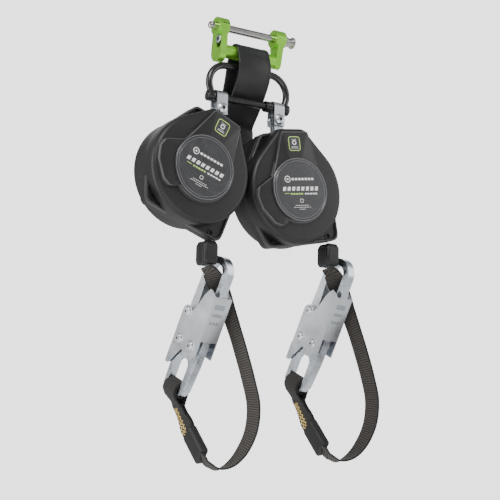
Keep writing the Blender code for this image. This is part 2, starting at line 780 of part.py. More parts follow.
def make_hook(side, leg):
    plane = hook_frame(side, leg)
    zinc = ("zinc", ZINC)
    half = HOOK_THICKNESS / 2
    eye = [(-1.5, 96), (-1.5, 64), (3, 58), (21, 58), (25.5, 64), (25.5, 96)]
    rivet_hole = circle(BODY_RIVET, RIVET_RADIUS + GAP, 16)
    body = prism(hook_outline(), -half, half, [eye, rivet_hole])
    part(f"hook_body_{side}", body, zinc, plane)

    holes = [circle(c, RIVET_RADIUS + GAP, 16) for c in ((0, 0), LEVER_PIVOT, BODY_RIVET)]
    wide = GUARD_HALF_WIDTH
    near_plate = prism(guard_outline(), wide - GUARD_SHEET, wide, holes)
    guard = part(f"hook_guard_{side}", near_plate, zinc, plane)
    join(guard, prism(guard_outline(), -wide, GUARD_SHEET - wide, holes))
    join(guard, box((39.8, -35, GUARD_SHEET / 2 - wide), (41.4, 26, wide - GUARD_SHEET / 2)))

    gate = hull_of(circle((0, 0), 7.5, 16), [(-5, -61), (4.5, -61), (4.5, -30)])
    pivot_hole = circle((0, 0), RIVET_RADIUS + GAP, 16)
    part(f"hook_gate_{side}", prism(gate, -6.8, 6.8, [pivot_hole]), zinc, plane)

    x, y = LEVER_PIVOT
    lobe = arc((x, y), 7.5, 20, -160, 8)
    cheek = [(-14.5, 74), (-9, 74), (-2, 62), (9, 44)] + lobe + [(-14.5, 50)]
    hole = circle(LEVER_PIVOT, RIVET_RADIUS + GAP, 16)
    lever = part(f"hook_lever_{side}", prism(cheek, 8.5, 10.5, [hole]), zinc, plane)
    join(lever, prism(cheek, -10.5, -8.5, [hole]))
    join(lever, box((-14.4, 50.5, -9.5), (-12.5, 73.9, 9.5)))

    reach = wide + GAP
    rivet = [
        (reach + 2.4, 0),
        (reach + 2.4, 5.5),
        (reach, 7),
        (reach, RIVET_RADIUS),
        (-reach, RIVET_RADIUS),
        (-reach, 7),
        (-reach - 2.4, 5.5),
        (-reach - 2.4, 0),
    ]
    places = {"gate_rivet": (0, 0), "lever_rivet": LEVER_PIVOT, "body_rivet": BODY_RIVET}
    for name, (p, q) in places.items():
        part(f"{name}_{side}", lathe(rivet, "z", 16, (p, q, 0)), zinc, plane)
    return plane


def make_sewn_end(side, leg, plane):
    """The webbing's doubled, stitched end, round the bushing and down to the sleeve."""
    matrix = plane.matrix_basis
    p, q = EYE_BAR
    half = WEB_WIDTH / 2
    bore = circle((0, q), BUSHING_BORE)
    bushing = prism(circle((0, q), BUSHING_RADIUS), p - half, p + half, [bore], "zyx")
    part(f"eye_bushing_{side}", bushing, ("rubber", RUBBER), plane)
    hole = circle((0, q), BUSHING_RADIUS + GAP)
    ring = prism(circle((0, q), SEWN_RADIUS), p - half, p + half, [hole], "zyx")
    ring.transform(matrix)
    turn = math.radians(TAIL_TURN)
    tail_way = Vector((0, math.cos(turn), math.sin(turn)))
    bar = [matrix @ ((Vector((p, q, 0)) + tail_way * below) * MM) / MM for below in (11.9, 24)]
    end = Vector(WEB_ROUTE[-1])
    rise = (end - Vector(WEB_ROUTE[-2])).normalized()
    tail = smooth_route([*bar, *(Vector(point) for point in SEWN_ROUTE), end + rise * SEWN_GAP], 3)
    across = Vector(HOOK_P).normalized()
    sides = [across.lerp(Vector((0, -1, -0.4)), i / (len(tail) - 1)) for i in range(len(tail))]
    sewn = part(f"sewn_end_{side}", ring, ("brown_webbing", BROWN_WEB), leg)
    join(sewn, sweep(tail, sides, strip_section(WEB_WIDTH, SEWN_THICKNESS)))


def main():
    for obj in list(bpy.data.objects):
        bpy.data.objects.remove(obj)
    connector = frame_at("connector", (0, 0, 0))
    make_connector(connector)
    make_strap(connector)
    shackle = frame_at("shackle", (0, 0, BOW_TOP_Z), connector)
    make_shackle(shackle)
    for side, link_x, roll in zip(("left", "right"), LINK_X, UNIT_ROLL):
        bar = frame_at(f"bar_{side}", (link_x, 0, BAR_Z - BOW_TOP_Z), shackle)
        outer = make_link(side, bar)
        bolt = frame_at(f"bolt_{side}", (0, 0, -BOLT_DROP), bar)
        make_link_bolt(side, bolt, outer)
        unit = frame_at(f"unit_{side}", (0, 0, 0), bolt, (0, math.radians(roll), 0))
        make_unit(side, unit)
        outlet = Vector((OUTLET_X, LEG_Y, CASE_CENTRE_Z + OUTLET_Z))
        outlet.rotate(Matrix.Rotation(math.radians(roll), 3, "Y"))
        leg = frame_at(f"leg_{side}", outlet, bolt)
        make_leg(side, leg)
        plane = make_hook(side, leg)
        make_sewn_end(side, leg, plane)


main()
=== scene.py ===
"""Looks for the twin-leg self retracting lifeline: covers, labels, webbing, hooks and a pale studio.

Lengths are in millimetres and scaled by MM. A unit's own frame has X to its right, Y to its back and
Z up, from the drum's axis. A hook's frame has p to its spine, q to its eye and n to its near side.
"""

import json
import math

import bmesh
import bpy
from mathutils import Matrix, Vector, geometry


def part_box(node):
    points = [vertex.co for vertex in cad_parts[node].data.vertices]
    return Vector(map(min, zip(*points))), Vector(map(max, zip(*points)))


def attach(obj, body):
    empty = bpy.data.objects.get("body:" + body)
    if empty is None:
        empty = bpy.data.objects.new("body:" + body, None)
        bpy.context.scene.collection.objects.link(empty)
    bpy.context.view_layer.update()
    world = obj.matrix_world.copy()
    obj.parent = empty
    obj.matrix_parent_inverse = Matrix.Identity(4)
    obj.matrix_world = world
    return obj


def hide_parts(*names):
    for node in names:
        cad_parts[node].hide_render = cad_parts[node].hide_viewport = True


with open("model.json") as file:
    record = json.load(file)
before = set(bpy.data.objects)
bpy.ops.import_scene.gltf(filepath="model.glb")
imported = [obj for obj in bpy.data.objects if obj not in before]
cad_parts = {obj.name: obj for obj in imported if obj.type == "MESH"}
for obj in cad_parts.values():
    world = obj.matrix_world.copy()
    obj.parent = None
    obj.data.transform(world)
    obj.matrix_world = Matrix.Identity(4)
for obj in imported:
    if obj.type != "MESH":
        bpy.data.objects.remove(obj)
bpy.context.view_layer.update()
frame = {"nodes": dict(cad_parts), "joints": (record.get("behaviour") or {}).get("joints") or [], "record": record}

MM = 0.001
GAP = 0.3
SHARP_EDGE = 38.0
SIDES = ("left", "right")
JOINTS = {joint["name"]: joint for joint in frame["joints"]}
BODY_OF = {node: body for body, nodes in frame["record"]["behaviour"]["bodies"].items() for node in nodes}

# Connector
BOSS_RADIUS = 12.4
PIN_RADIUS = 5.0
DETAIL_ANGLE = 168.0

# Camera and lights
TARGET = (10.0, 0.0, -290.0)
CAMERA_DISTANCE = 2000.0
CAMERA_AZIMUTH = -32.2
CAMERA_ELEVATION = -11.5
CAMERA_ROLL = 1.2
CAMERA_LENS = 110.0
CAMERA_SHIFT = (-0.0025, -0.008)
FLOOR_Z = -1300.0
LIGHT_TARGET = (20.0, 0.0, -300.0)
BACKDROP_STRENGTH = 2.6
SKY_STRENGTH = 0.36

# Strap from the absorber over the spacer and back
STRAP_WIDTH = 50.0
STRAP_FRONT = (
    (8.0, 37.0, -114.0),
    (7.5, 27.0, -104.0),
    (6.5, 16.5, -93.5),
    (5.0, 4.0, -80.0),
    (3.5, -7.0, -66.0),
    (2.5, -12.5, -52.0),
    (2.0, -11.5, -40.0),
)
STRAP_BACK = (
    (2.0, 19.0, -46.0),
    (3.0, 24.0, -60.0),
    (4.0, 30.0, -74.0),
    (5.5, 36.0, -88.0),
    (7.0, 40.5, -102.0),
    (8.0, 43.0, -114.0),
)
# Where the strap's ends go on, inside the absorber's cover
STRAP_TUCK = ((8.0, 41.5, -122.0), (8.0, 45.5, -122.0))

# Shackle
BOW_ROD_RADIUS = 4.7
BOW_HALF_WIDTH = 60.6
BOW_CORNER_RADIUS = 26.0
BOW_TUCK = 25.0
LUG_RADIUS = 7.6
LUG_HALF_LENGTH = 4.2
BAR_RADIUS = 4.8

# Lifeline unit
CASE_RADIUS = 72.0
CASE_FRONT_Y = -32.0
CASE_SPLIT_Y = -6.0
CASE_BACK_Y = 27.0
CASE_WALL = 2.5
FLANGE_THICKNESS = 5.0
PANEL_HEIGHT = 4.0
DISC_RADIUS = 43.0
DISC_FRONT_Y = CASE_FRONT_Y - PANEL_HEIGHT - GAP - 2.0
SCREWS = ((-31.0, 74.0), (-37.0, -61.0), (55.0, -59.0))
BADGE_CENTRE = (0.0, 62.0)
LABEL_TURN = {"left": math.radians(-5.0), "right": 0.0}

# Webbing leg, in the frame of its outlet
WEB_WIDTH = 25.0
WEB_THICKNESS = 2.6
WEB_RIB = 3.2
WEB_ROUTE = (
    (0.0, 0.0, -33.6),
    (0.5, -0.2, -36.5),
    (6.5, -2.0, -42.0),
    (18.9, 5.0, -53.6),
    (31.5, 13.2, -62.5),
    (42.0, 13.5, -84.0),
    (50.0, 8.0, -112.0),
    (58.0, 3.0, -142.0),
    (68.0, 1.0, -175.0),
    (78.5, 5.0, -205.0),
    (80.0, 11.0, -235.5),
    (72.5, 18.0, -261.0),
    (61.0, 26.0, -278.5),
    (47.5, 35.0, -286.0),
    (37.0, 44.0, -281.0),
    (30.0, 53.0, -269.5),
)
WEB_SIDE = (
    (0.0, 1.0, 0.0),
    (0.0, 1.0, 0.0),
    (-0.4, 0.85, -0.1),
    (-0.67, 0.66, -0.36),
    (-0.6, 0.78, -0.1),
    (-0.3, 0.95, 0.0),
    *((-0.17, 0.98, 0.0),) * 6,
    (-0.1, 1.0, 0.0),
    (0.0, 1.0, 0.0),
    (0.0, 1.0, 0.2),
    (0.0, 1.0, 0.4),
)
BUMPER_WIDTH = 18.6
BUMPER_DEPTH = 26.4
BUMPER_CORNER = 2.8
FORK_DISTANCE = 24.0
PLY_OFFSET = 1.75
SEWN_BEND_RADIUS = 11.35
SLEEVE_THICKNESS = 12.0

# Hook
LEVER_PIVOT = (0.7, 37.0)
BODY_RIVET = (26.0, 38.0)
EYE_BAR = (12.0, 101.0)
GUARD_HALF_WIDTH = 15.0
GUARD_SPINE_P = 41.4
TAIL_TURN = 30.0
SEWN_ROUTE = ((22.5, 86.0, -220.0), (25.5, 76.0, -238.5), (27.5, 64.0, -255.5))


# Frames


def joint_point(name):
    return Vector(JOINTS[name]["pos_m"])


def axes_matrix(origin, x, y, z):
    turn = Matrix((x, y, z)).transposed().to_4x4()
    return Matrix.Translation(origin) @ turn @ Matrix.Scale(MM, 4)


def unit_matrix(side):
    low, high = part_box(f"drum_shaft_{side}")
    bolt = joint_point(f"unit_roll_{side}")
    centre = (low + high) / 2
    centre.y = bolt.y
    up = (bolt - centre).normalized()
    back = Vector((0, 1, 0))
    return axes_matrix(centre, back.cross(up), back, up)


def hook_matrix(side):
    origin = joint_point(f"gate_open_{side}")
    n = Vector(JOINTS[f"gate_open_{side}"]["axis"]).normalized()
    to_lever = (joint_point(f"lever_press_{side}") - origin).normalized()
    lean = math.atan2(LEVER_PIVOT[0], LEVER_PIVOT[1])
    q = Matrix.Rotation(lean, 3, n) @ to_lever
    return axes_matrix(origin, q.cross(n), q, n)


def leg_matrix(side):
    return Matrix.Translation(joint_point(f"leg_swing_{side}")) @ Matrix.Scale(MM, 4)


ROOT = Matrix.Scale(MM, 4)
UNIT = {side: unit_matrix(side) for side in SIDES}
HOOK = {side: hook_matrix(side) for side in SIDES}
LEG = {side: leg_matrix(side) for side in SIDES}


# Outlines


def arc(centre, radius, start, stop, steps):
    angles = [math.radians(start + (stop - start) * i / steps) for i in range(steps + 1)]
    return [(centre[0] + radius * math.cos(a), centre[1] + radius * math.sin(a)) for a in angles]


def circle(centre, radius, steps=24):
    return arc(centre, radius, 0, 360, steps)[:-1]


def hull_of(*loops):
    points = [Vector(point) for loop in loops for point in loop]
    return [tuple(points[i]) for i in geometry.convex_hull_2d(points)]


def rounded_rectangle(width, height, radius, steps=6):
    corners = ((1, 1, 0), (-1, 1, 90), (-1, -1, 180), (1, -1, 270))
    loop = []
    for side_x, side_y, start in corners:
        centre = (side_x * (width / 2 - radius), side_y * (height / 2 - radius))
        loop += arc(centre, radius, start, start + 90, steps)
    return loop


def polar_radii(outline, count=240, softness=1):
    """How far the outline is from its origin in each direction, with its corners softened."""
    pairs = list(zip(outline, outline[1:] + outline[:1]))
    radii = []
    for i in range(count):
        angle = math.tau * i / count
        far = Vector((math.cos(angle), math.sin(angle))) * 500
        hits = [geometry.intersect_line_line_2d((0, 0), far, a, b) for a, b in pairs]
        radii.append(max(hit.length for hit in hits if hit))
    for _ in range(softness):
        radii = [(radii[i - 1] + 2 * radii[i] + radii[(i + 1) % count]) / 4 for i in range(count)]
    return radii


def smooth_route(route, steps):
    """A Catmull-Rom curve through the route's points."""
    ends = [2 * route[0] - route[1], *route, 2 * route[-1] - route[-2]]
    points = []
    for a, b, c, d in zip(ends, ends[1:], ends[2:], ends[3:]):
        for k in range(steps):
            t = k / steps
            straight = 2 * b + (c - a) * t
            bend = (2 * a - 5 * b + 4 * c - d) * t**2 + (3 * b - a - 3 * c + d) * t**3
            points.append((straight + bend) / 2)
    points.append(route[-1])
    return points


# Meshes


def solid(verts, faces):
    bm = bmesh.new()
    made = [bm.verts.new(v) for v in verts]
    for face in faces:
        bm.faces.new([made[i] for i in face])
    bmesh.ops.recalc_face_normals(bm, faces=bm.faces)
    return bm


def gather(solids):
    """Several solids in one mesh."""
    whole = bmesh.new()
    for bm in solids:
        mesh = bpy.data.meshes.new("part_of_whole")
        bm.to_mesh(mesh)
        bm.free()
        whole.from_mesh(mesh)
        bpy.data.meshes.remove(mesh)
    return whole


def loft(rings, closed=False):
    """Skin over rings of equal count, with a fan at each end unless the rings close on themselves."""
    count = len(rings[0])
    verts = [v for ring in rings for v in ring]
    faces = []
    last = len(rings) if closed else len(rings) - 1
    for k in range(last):
        lower = k * count
        upper = (k + 1) % len(rings) * count
        for i in range(count):
            j = (i + 1) % count
            faces.append((lower + i, lower + j, upper + j, upper + i))
    if not closed:
        for ring, start in ((rings[0], 0), (rings[-1], (len(rings) - 1) * count)):
            verts.append(sum((Vector(v) for v in ring), Vector()) / count)
            for i in range(count):
                faces.append((start + i, start + (i + 1) % count, len(verts) - 1))
    return solid(verts, faces)


def radial_ring(radii, y, step_in):
    """The outline given by its radii, at y and moved in."""
    ring = []
    for i, radius in enumerate(radii):
        angle = math.tau * i / len(radii)
        reach = radius - step_in
        ring.append(Vector((reach * math.cos(angle), y, reach * math.sin(angle))))
    return ring


def radial_loft(radii, profile, closed=False):
    """A loft across Y of an outline given by its radii; each profile step is (y, inset)."""
    return loft([radial_ring(radii, y, step_in) for y, step_in in profile], closed)


def round_ring(profile, steps, x=0.0, z=0.0):
    """A closed ring about Y from its (y, radius) section."""
    rings = [[Vector((x + u, y, z + v)) for u, v in circle((0, 0), r, steps)] for y, r in profile]
    return loft(rings, closed=True)


def prism(outline, low, high, holes=(), axes="xyz"):
    """An outline with holes from low to high; axes names what u, v and the depth run along."""
    loops = [list(outline)] + [list(hole) for hole in holes]
    flat = [point for loop in loops for point in loop]
    place = {letter: i for i, letter in enumerate(axes)}
    verts = []
    for depth in (low, high):
        for u, v in flat:
            triple = (u, v, depth)
            verts.append(Vector([triple[place[letter]] for letter in "xyz"]))
    count = len(flat)
    faces = []
    for triangle in geometry.tessellate_polygon([[Vector((*point, 0)) for point in loop] for loop in loops]):
        faces.append(tuple(triangle))
        faces.append(tuple(i + count for i in reversed(triangle)))
    start = 0
    for loop in loops:
        for i in range(len(loop)):
            a = start + i
            b = start + (i + 1) % len(loop)
            faces.append((a, b, b + count, a + count))
        start += len(loop)
    return solid(verts, faces)


def lathe(profile, steps=64, axis="y", centre=(0, 0, 0)):
    """A closed (along, radius) profile turned about an axis."""
    letters = {"x": (0, 1, 2), "y": (1, 2, 0), "z": (2, 0, 1)}[axis]
    rings = []
    for along, radius in profile:
        ring = []
        for i in range(steps):
            angle = math.tau * i / steps
            place = Vector(centre)
            place[letters[0]] += along
            place[letters[1]] += max(radius, 0.01) * math.cos(angle)
            place[letters[2]] += max(radius, 0.01) * math.sin(angle)
            ring.append(place)
        rings.append(ring)
    return loft(rings)


def bevelled(bm, width, segments=2):
    """Rounds a solid's sharp edges."""
    bmesh.ops.remove_doubles(bm, verts=bm.verts, dist=width * 0.004)
    flat = math.radians(0.6)
    bmesh.ops.dissolve_limit(bm, angle_limit=flat, verts=bm.verts[:], edges=bm.edges[:])
    limit = math.radians(SHARP_EDGE)
    sharp = [e for e in bm.edges if e.is_manifold and e.calc_face_angle(0) > limit]
    bmesh.ops.bevel(
        bm, geom=sharp, offset=width, segments=segments, affect="EDGES", profile=0.5, clamp_overlap=True
    )
    return bm


def directions_at(points, sides, i):
    """The directions along a line at one of its points, across it to its side, and through it."""
    along = (points[min(i + 1, len(points) - 1)] - points[max(i - 1, 0)]).normalized()
    across = (sides[i] - along * sides[i].dot(along)).normalized()
    return along, across, along.cross(across)


def sweep(points, sides, section_at):
    """A section carried along points, with each vertex's place across and along kept for its weave."""
    verts = []
    lay = []
    travelled = 0.0
    for i, point in enumerate(points):
        travelled += (point - points[i - 1]).length if i else 0.0
        _, across, through = directions_at(points, sides, i)
        section = section_at(travelled)
        for u, v in section:
            verts.append(point + across * u + through * v)
            lay.append((u, travelled, v))
    size = len(section)
    faces = [tuple(range(size)), tuple(range(len(verts) - size, len(verts)))]
    for k in range(len(points) - 1):
        for i in range(size):
            j = (i + 1) % size
            faces.append((k * size + i, k * size + j, (k + 1) * size + j, (k + 1) * size + i))
    bm = solid(verts, faces)
    layer = bm.verts.layers.float_vector.new("lay")
    bm.verts.ensure_lookup_table()
    for i, place in enumerate(lay):
        bm.verts[i][layer] = place
    return bm


def resample(points, sides, step):
    """The same line and side directions at even steps."""
    out_points = [points[0]]
    out_sides = [sides[0]]
    left = step
    for a, b, side_a, side_b in zip(points, points[1:], sides, sides[1:]):
        length = (b - a).length
        at = left
        while at <= length:
            out_points.append(a.lerp(b, at / length))
            out_sides.append(side_a.lerp(side_b, at / length))
            at += step
        left = at - length
    return out_points, out_sides


def ribbon(line, width, low, high, closed=False):
    """A flat band along a line of (x, z), from low to high in Y."""
    verts = []
    count = len(line)
    for i, point in enumerate(line):
        before = Vector(line[i - 1] if closed or i else point)
        after = Vector(line[(i + 1) % count] if closed or i < count - 1 else point)
        along = (after - before).normalized()
        side = Vector((-along.y, along.x)) * width / 2
        for shift, y in ((side, low), (-side, low), (-side, high), (side, high)):
            verts.append(Vector((point[0] + shift.x, y, point[1] + shift.y)))
    faces = []
    last = count if closed else count - 1
    for k in range(last):
        for i in range(4):
            j = (i + 1) % 4
            upper = (k + 1) % count * 4
            faces.append((k * 4 + i, k * 4 + j, upper + j, upper + i))
    if not closed:
        faces += [(0, 1, 2, 3), tuple(range(count * 4 - 4, count * 4))]
    return solid(verts, faces)


def bar_mark(x, z, width, height, low, high):
    return prism(
        [(x, z), (x + width, z), (x + width, z + height), (x, z + height)], low, high, (), "xzy"
    )


# Pieces


def placed(name, data):
    obj = bpy.data.objects.new(name, data)
    bpy.context.scene.collection.objects.link(obj)
    return obj


def piece(name, bm, material, body, matrix=ROOT, replaces=(), sharp=40):
    """A mesh as a finished object that rides on a body and may stand for CAD nodes."""
    bm.transform(matrix)
    mesh = bpy.data.meshes.new(name)
    bm.to_mesh(mesh)
    bm.free()
    mesh.shade_smooth()
    mesh.set_sharp_from_angle(angle=math.radians(sharp))
    mesh.materials.append(material)
    obj = placed(name, mesh)
    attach(obj, body)
    if replaces:
        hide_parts(*replaces)
    return obj


def softened(node, width, material, segments=2):
    """A CAD node again, with its edges rounded."""
    bm = bmesh.new()
    bm.from_mesh(frame["nodes"][node].data)
    bmesh.ops.remove_doubles(bm, verts=bm.verts, dist=1e-6)
    bm.transform(Matrix.Scale(1 / MM, 4))
    bevelled(bm, width, segments)
    obj = piece(f"{node}_finished", bm, material, BODY_OF[node], ROOT, (node,))
    obj.modifiers.new("even_shading", "WEIGHTED_NORMAL").keep_sharp = True
    return obj


# Materials


def add(tree, kind, values=None, **settings):
    """A shader node with its sockets set to values or linked to other nodes' outputs."""
    node = tree.nodes.new(kind)
    for key, value in settings.items():
        setattr(node, key, value)
    for key, value in (values or {}).items():
        if isinstance(value, bpy.types.NodeSocket):
            tree.links.new(value, node.inputs[key])
        else:
            node.inputs[key].default_value = value
    return node


def maths(tree, operation, a, b=0.0):
    return add(tree, "ShaderNodeMath", {0: a, 1: b}, operation=operation).outputs[0]


def ramp(tree, factor, stops):
    node = add(tree, "ShaderNodeValToRGB", {"Fac": factor})
    elements = node.color_ramp.elements
    while len(elements) < len(stops):
        elements.new(0.5)
    for element, (position, colour) in zip(elements, stops):
        element.position = position
        element.color = (*colour, 1)
    return node.outputs["Color"]


def scaled(colour, amount):
    return tuple(min(1.0, c * amount) for c in colour)


def principled(name, roughness, metallic=0.0, **more):
    material = bpy.data.materials.new(name)
    material.use_nodes = True
    tree = material.node_tree
    shader = tree.nodes["Principled BSDF"]
    shader.inputs["Metallic"].default_value = metallic
    shader.inputs["Roughness"].default_value = roughness
    for socket, value in more.items():
        shader.inputs[socket.replace("_", " ")].default_value = value
    return material, tree, shader


def grained(name, colour, roughness, metallic=0.0, mottle=0.1, patch=40.0, grain=1500.0, depth=0.02,
            spread=0.05, stretch=(1, 1, 1), **more):
    """Moulded, cast or machined surface: patchy colour, uneven gloss and a fine grain."""
    material, tree, shader = principled(name, roughness, metallic, **more)
    place = add(tree, "ShaderNodeTexCoord").outputs["Object"]
    place = add(tree, "ShaderNodeMapping", {"Vector": place, "Scale": stretch}).outputs["Vector"]
    patches = add(tree, "ShaderNodeTexNoise", {"Vector": place, "Scale": patch, "Detail": 5.0})
    fine = add(tree, "ShaderNodeTexNoise", {"Vector": place, "Scale": grain, "Detail": 3.0})
    stops = ((0.32, scaled(colour, 1 - mottle)), (0.68, scaled(colour, 1 + mottle)))
    tree.links.new(ramp(tree, patches.outputs["Fac"], stops), shader.inputs["Base Color"])
    blend = maths(tree, "ADD", maths(tree, "MULTIPLY", patches.outputs["Fac"], 0.5),
                  maths(tree, "MULTIPLY", fine.outputs["Fac"], 0.5))
    gloss = {"Value": blend, "From Min": 0.35, "From Max": 0.65}
    gloss |= {"To Min": roughness - spread, "To Max": roughness + spread}
    tree.links.new(add(tree, "ShaderNodeMapRange", gloss).outputs["Result"], shader.inputs["Roughness"])
    bump = {"Strength": 1.0, "Distance": depth * MM, "Height": fine.outputs["Fac"]}
    tree.links.new(add(tree, "ShaderNodeBump", bump).outputs["Normal"], shader.inputs["Normal"])
    return material


def woven(name, thread, shadow, edge, rib, pick, half_width, roughness=0.8, depth=0.12, **more):
    """Webbing: ribs across it at rib millimetres, warp threads at pick millimetres and dark edges."""
    material, tree, shader = principled(name, roughness, 0.0, **more)
    lay = add(tree, "ShaderNodeAttribute", attribute_name="lay").outputs["Vector"]
    place = add(tree, "ShaderNodeSeparateXYZ", {0: lay})
    across = place.outputs["X"]
    along = place.outputs["Y"]
    wave = maths(tree, "COSINE", maths(tree, "MULTIPLY", along, math.tau / rib))
    ribs = maths(tree, "MULTIPLY", maths(tree, "SUBTRACT", 1.0, wave), 0.36)
    warp = maths(tree, "SINE", maths(tree, "MULTIPLY", across, math.tau / pick))
    weave = maths(tree, "ADD", ribs, maths(tree, "MULTIPLY", warp, 0.08))
    fuzz = add(tree, "ShaderNodeTexNoise", {"Vector": lay, "Scale": 1.4, "Detail": 4.0}).outputs["Fac"]
    height = maths(tree, "ADD", weave, maths(tree, "MULTIPLY", fuzz, 0.3))
    # Colour follows the weave's height: the shadow colour in the rib grooves is painted shade, the warp and noise
    # add the threads' own variation.
    cloth = ramp(tree, height, ((0.22, shadow), (0.62, thread)))
    rim = maths(tree, "GREATER_THAN", maths(tree, "ABSOLUTE", across), half_width)
    mixed = add(tree, "ShaderNodeMix", {0: rim, 6: cloth, 7: (*edge, 1)}, data_type="RGBA")
    tree.links.new(mixed.outputs[2], shader.inputs["Base Color"])
    bump = {"Strength": 1.0, "Distance": depth * MM, "Height": height}
    tree.links.new(add(tree, "ShaderNodeBump", bump).outputs["Normal"], shader.inputs["Normal"])
    return material


PLASTIC = grained("case_moulding", (0.0105, 0.0105, 0.0112), 0.46, mottle=0.12, patch=25, grain=2600,
                  depth=0.03, spread=0.06, Specular_IOR_Level=0.42)
PANEL = grained("panel_moulding", (0.0115, 0.0115, 0.0122), 0.42, mottle=0.10, patch=25, grain=2600,
                depth=0.025, spread=0.06, Specular_IOR_Level=0.45)
# A lighter grey copy of the case plastic for the flange lip: painted highlight along the case's edge.
LIP_HIGHLIGHT = grained("case_edge_painted_highlight", (0.036, 0.036, 0.038), 0.42, mottle=0.12, patch=30, grain=2600, depth=0.02,
               spread=0.05)
# A lighter grey copy of the case plastic for the bead round the raised panel: painted highlight along the panel's
# edge.
RIDGE_HIGHLIGHT = grained("panel_bead_painted_highlight", (0.060, 0.060, 0.063), 0.40, mottle=0.15, patch=40, grain=2600, depth=0.02,
               spread=0.05)
LABEL = grained("label_film", (0.034, 0.034, 0.037), 0.33, mottle=0.12, patch=60, grain=1800,
                depth=0.004, spread=0.04, Coat_Weight=0.25, Coat_Roughness=0.2)
PRINT_WHITE = grained("white_ink", (0.80, 0.80, 0.80), 0.45, mottle=0.04, depth=0.003)
PRINT_GREEN = grained("green_ink", (0.45, 0.68, 0.16), 0.45, mottle=0.05, depth=0.003)
PRINT_LINE = grained("grey_ink", (0.20, 0.20, 0.215), 0.4, mottle=0.08, depth=0.003)
PRINT_CONTOUR = grained("contour_ink", (0.075, 0.082, 0.060), 0.4, mottle=0.08, depth=0.003)
PIN_STEEL = grained("pin_steel", (0.44, 0.42, 0.405), 0.22, 1.0, mottle=0.07, patch=90, grain=3000,
                    depth=0.004, spread=0.06, stretch=(0.15, 1, 1))
STEEL = grained("machined_steel", (0.58, 0.60, 0.62), 0.32, 1.0, mottle=0.08, patch=80, grain=2500,
                depth=0.008, spread=0.07)
SPRING = grained("spring_steel", (0.35, 0.37, 0.42), 0.3, 1.0, mottle=0.1, depth=0.006)
ZINC = grained("zinc_plate", (0.69, 0.72, 0.755), 0.33, 1.0, mottle=0.07, patch=55, grain=1100,
               depth=0.018, spread=0.07)
ZINC_SHEET = grained("zinc_sheet", (0.62, 0.65, 0.675), 0.34, 1.0, mottle=0.05, patch=35, grain=1500,
                     depth=0.01, spread=0.06)
STAMPED = grained("stamped_zinc", (0.30, 0.33, 0.36), 0.45, 1.0, mottle=0.12, patch=60, depth=0.01)
FORGED = grained("forged_zinc", (0.60, 0.64, 0.69), 0.30, 1.0, mottle=0.10, patch=70, grain=800,
                 depth=0.03, spread=0.08)
GREEN = grained("green_anodised", (0.29, 0.70, 0.065), 0.32, 0.8, mottle=0.06, patch=60, grain=2600,
                depth=0.008, spread=0.05)
BLACK_STEEL = grained("black_coating", (0.006, 0.006, 0.0065), 0.30, 0.0, mottle=0.2, patch=50, grain=900,
                      depth=0.01, spread=0.05, Coat_Weight=0.3, Coat_Roughness=0.12)
# Near black for the front screw heads, the seams and the pin's marks, and painted shade in hex sockets, dimples
# and the slider's slot.
BLACK_AND_RECESS_SHADE = grained("black_and_painted_recess_shade", (0.006, 0.006, 0.006), 0.6, 0.0, mottle=0.2, depth=0.01)
RUBBER = grained("rubber", (0.0045, 0.0045, 0.005), 0.44, mottle=0.15, patch=45, grain=1600, depth=0.04,
                 spread=0.06)
SLEEVE = grained("sleeve", (0.006, 0.006, 0.0065), 0.55, mottle=0.15, patch=80, grain=1400, depth=0.05)
NYLON = grained("moulded_nylon", (0.10, 0.10, 0.105), 0.5, mottle=0.1, depth=0.02)
LIFELINE = woven("brown_webbing", (0.052, 0.044, 0.037), (0.007, 0.006, 0.005), (0.004, 0.004, 0.004),
                 WEB_RIB, 1.3, 11.0, 0.8, 0.15, Sheen_Weight=0.06)
# The sewn loop's webbing: a darker copy of the lifeline webbing, painted shade.
SEWN_WEB_SHADE = woven("sewn_webbing_painted_shade", (0.022, 0.019, 0.017), (0.005, 0.005, 0.005), (0.004, 0.004, 0.004),
             WEB_RIB, 1.3, 11.0, 0.8, 0.15, Sheen_Weight=0.05)
STRAP = woven("black_webbing", (0.009, 0.009, 0.010), (0.005, 0.005, 0.005), (0.006, 0.006, 0.006),
              1.2, 1.1, 23.8, 0.46, 0.05, Sheen_Weight=0.1, Sheen_Roughness=0.4)
THREAD_BLACK = grained("black_thread", (0.02, 0.02, 0.021), 0.6, mottle=0.2, patch=300, depth=0.02)
THREAD_GOLD = grained("gold_thread", (0.72, 0.52, 0.16), 0.6, mottle=0.2, patch=300, depth=0.02,
                      Sheen_Weight=0.3)


# Lifeline unit


def dome_outline():
    return hull_of(circle((0, 0), CASE_RADIUS, 120), circle((-16, 81), 4, 16), circle((21, 81), 4, 16))


def flange_outline():
    lugs = (((-31, 74), 7), ((21, 79), 6), ((-38, -63), 9), ((63, -57), 9))
    return hull_of(circle((0, 0), CASE_RADIUS - 2, 120), *(circle(*lug, 16) for lug in lugs))


def raised_panel_outline():
    """The trapezoid up to the badge, the angular lobe on the left and the rim round the disc."""
    trapezoid = [(24, 80), (-18, 80)]
    lobe = [(-40, 20), (-65.5, 4), (-68, -8), (-62.5, -25), (-45, -45), (-33, -49), (-22, -42)]
    rim = arc((0, 0), DISC_RADIUS + 3, 240, 400, 40)
    return trapezoid + lobe + rim


def shoulder(y_start, y_end, radius, inset):
    """A quarter round from a side wall to a face across Y, as (y, inset) steps."""
    sign = 1 if y_end > y_start else -1
    out = []
    for i in range(9):
        a = math.pi / 2 * i / 8
        out.append((y_end - sign * radius * (1 - math.sin(a)), inset + radius * (1 - math.cos(a))))
    return out


def unit_piece(side, name, bm, material, matrix=None, replaces=(), sharp=40):
    """A piece that rides on one unit, made in the unit's own frame unless matrix says another."""
    piece(f"{name}_{side}", bm, material, f"unit_{side}", matrix or UNIT[side], replaces, sharp)


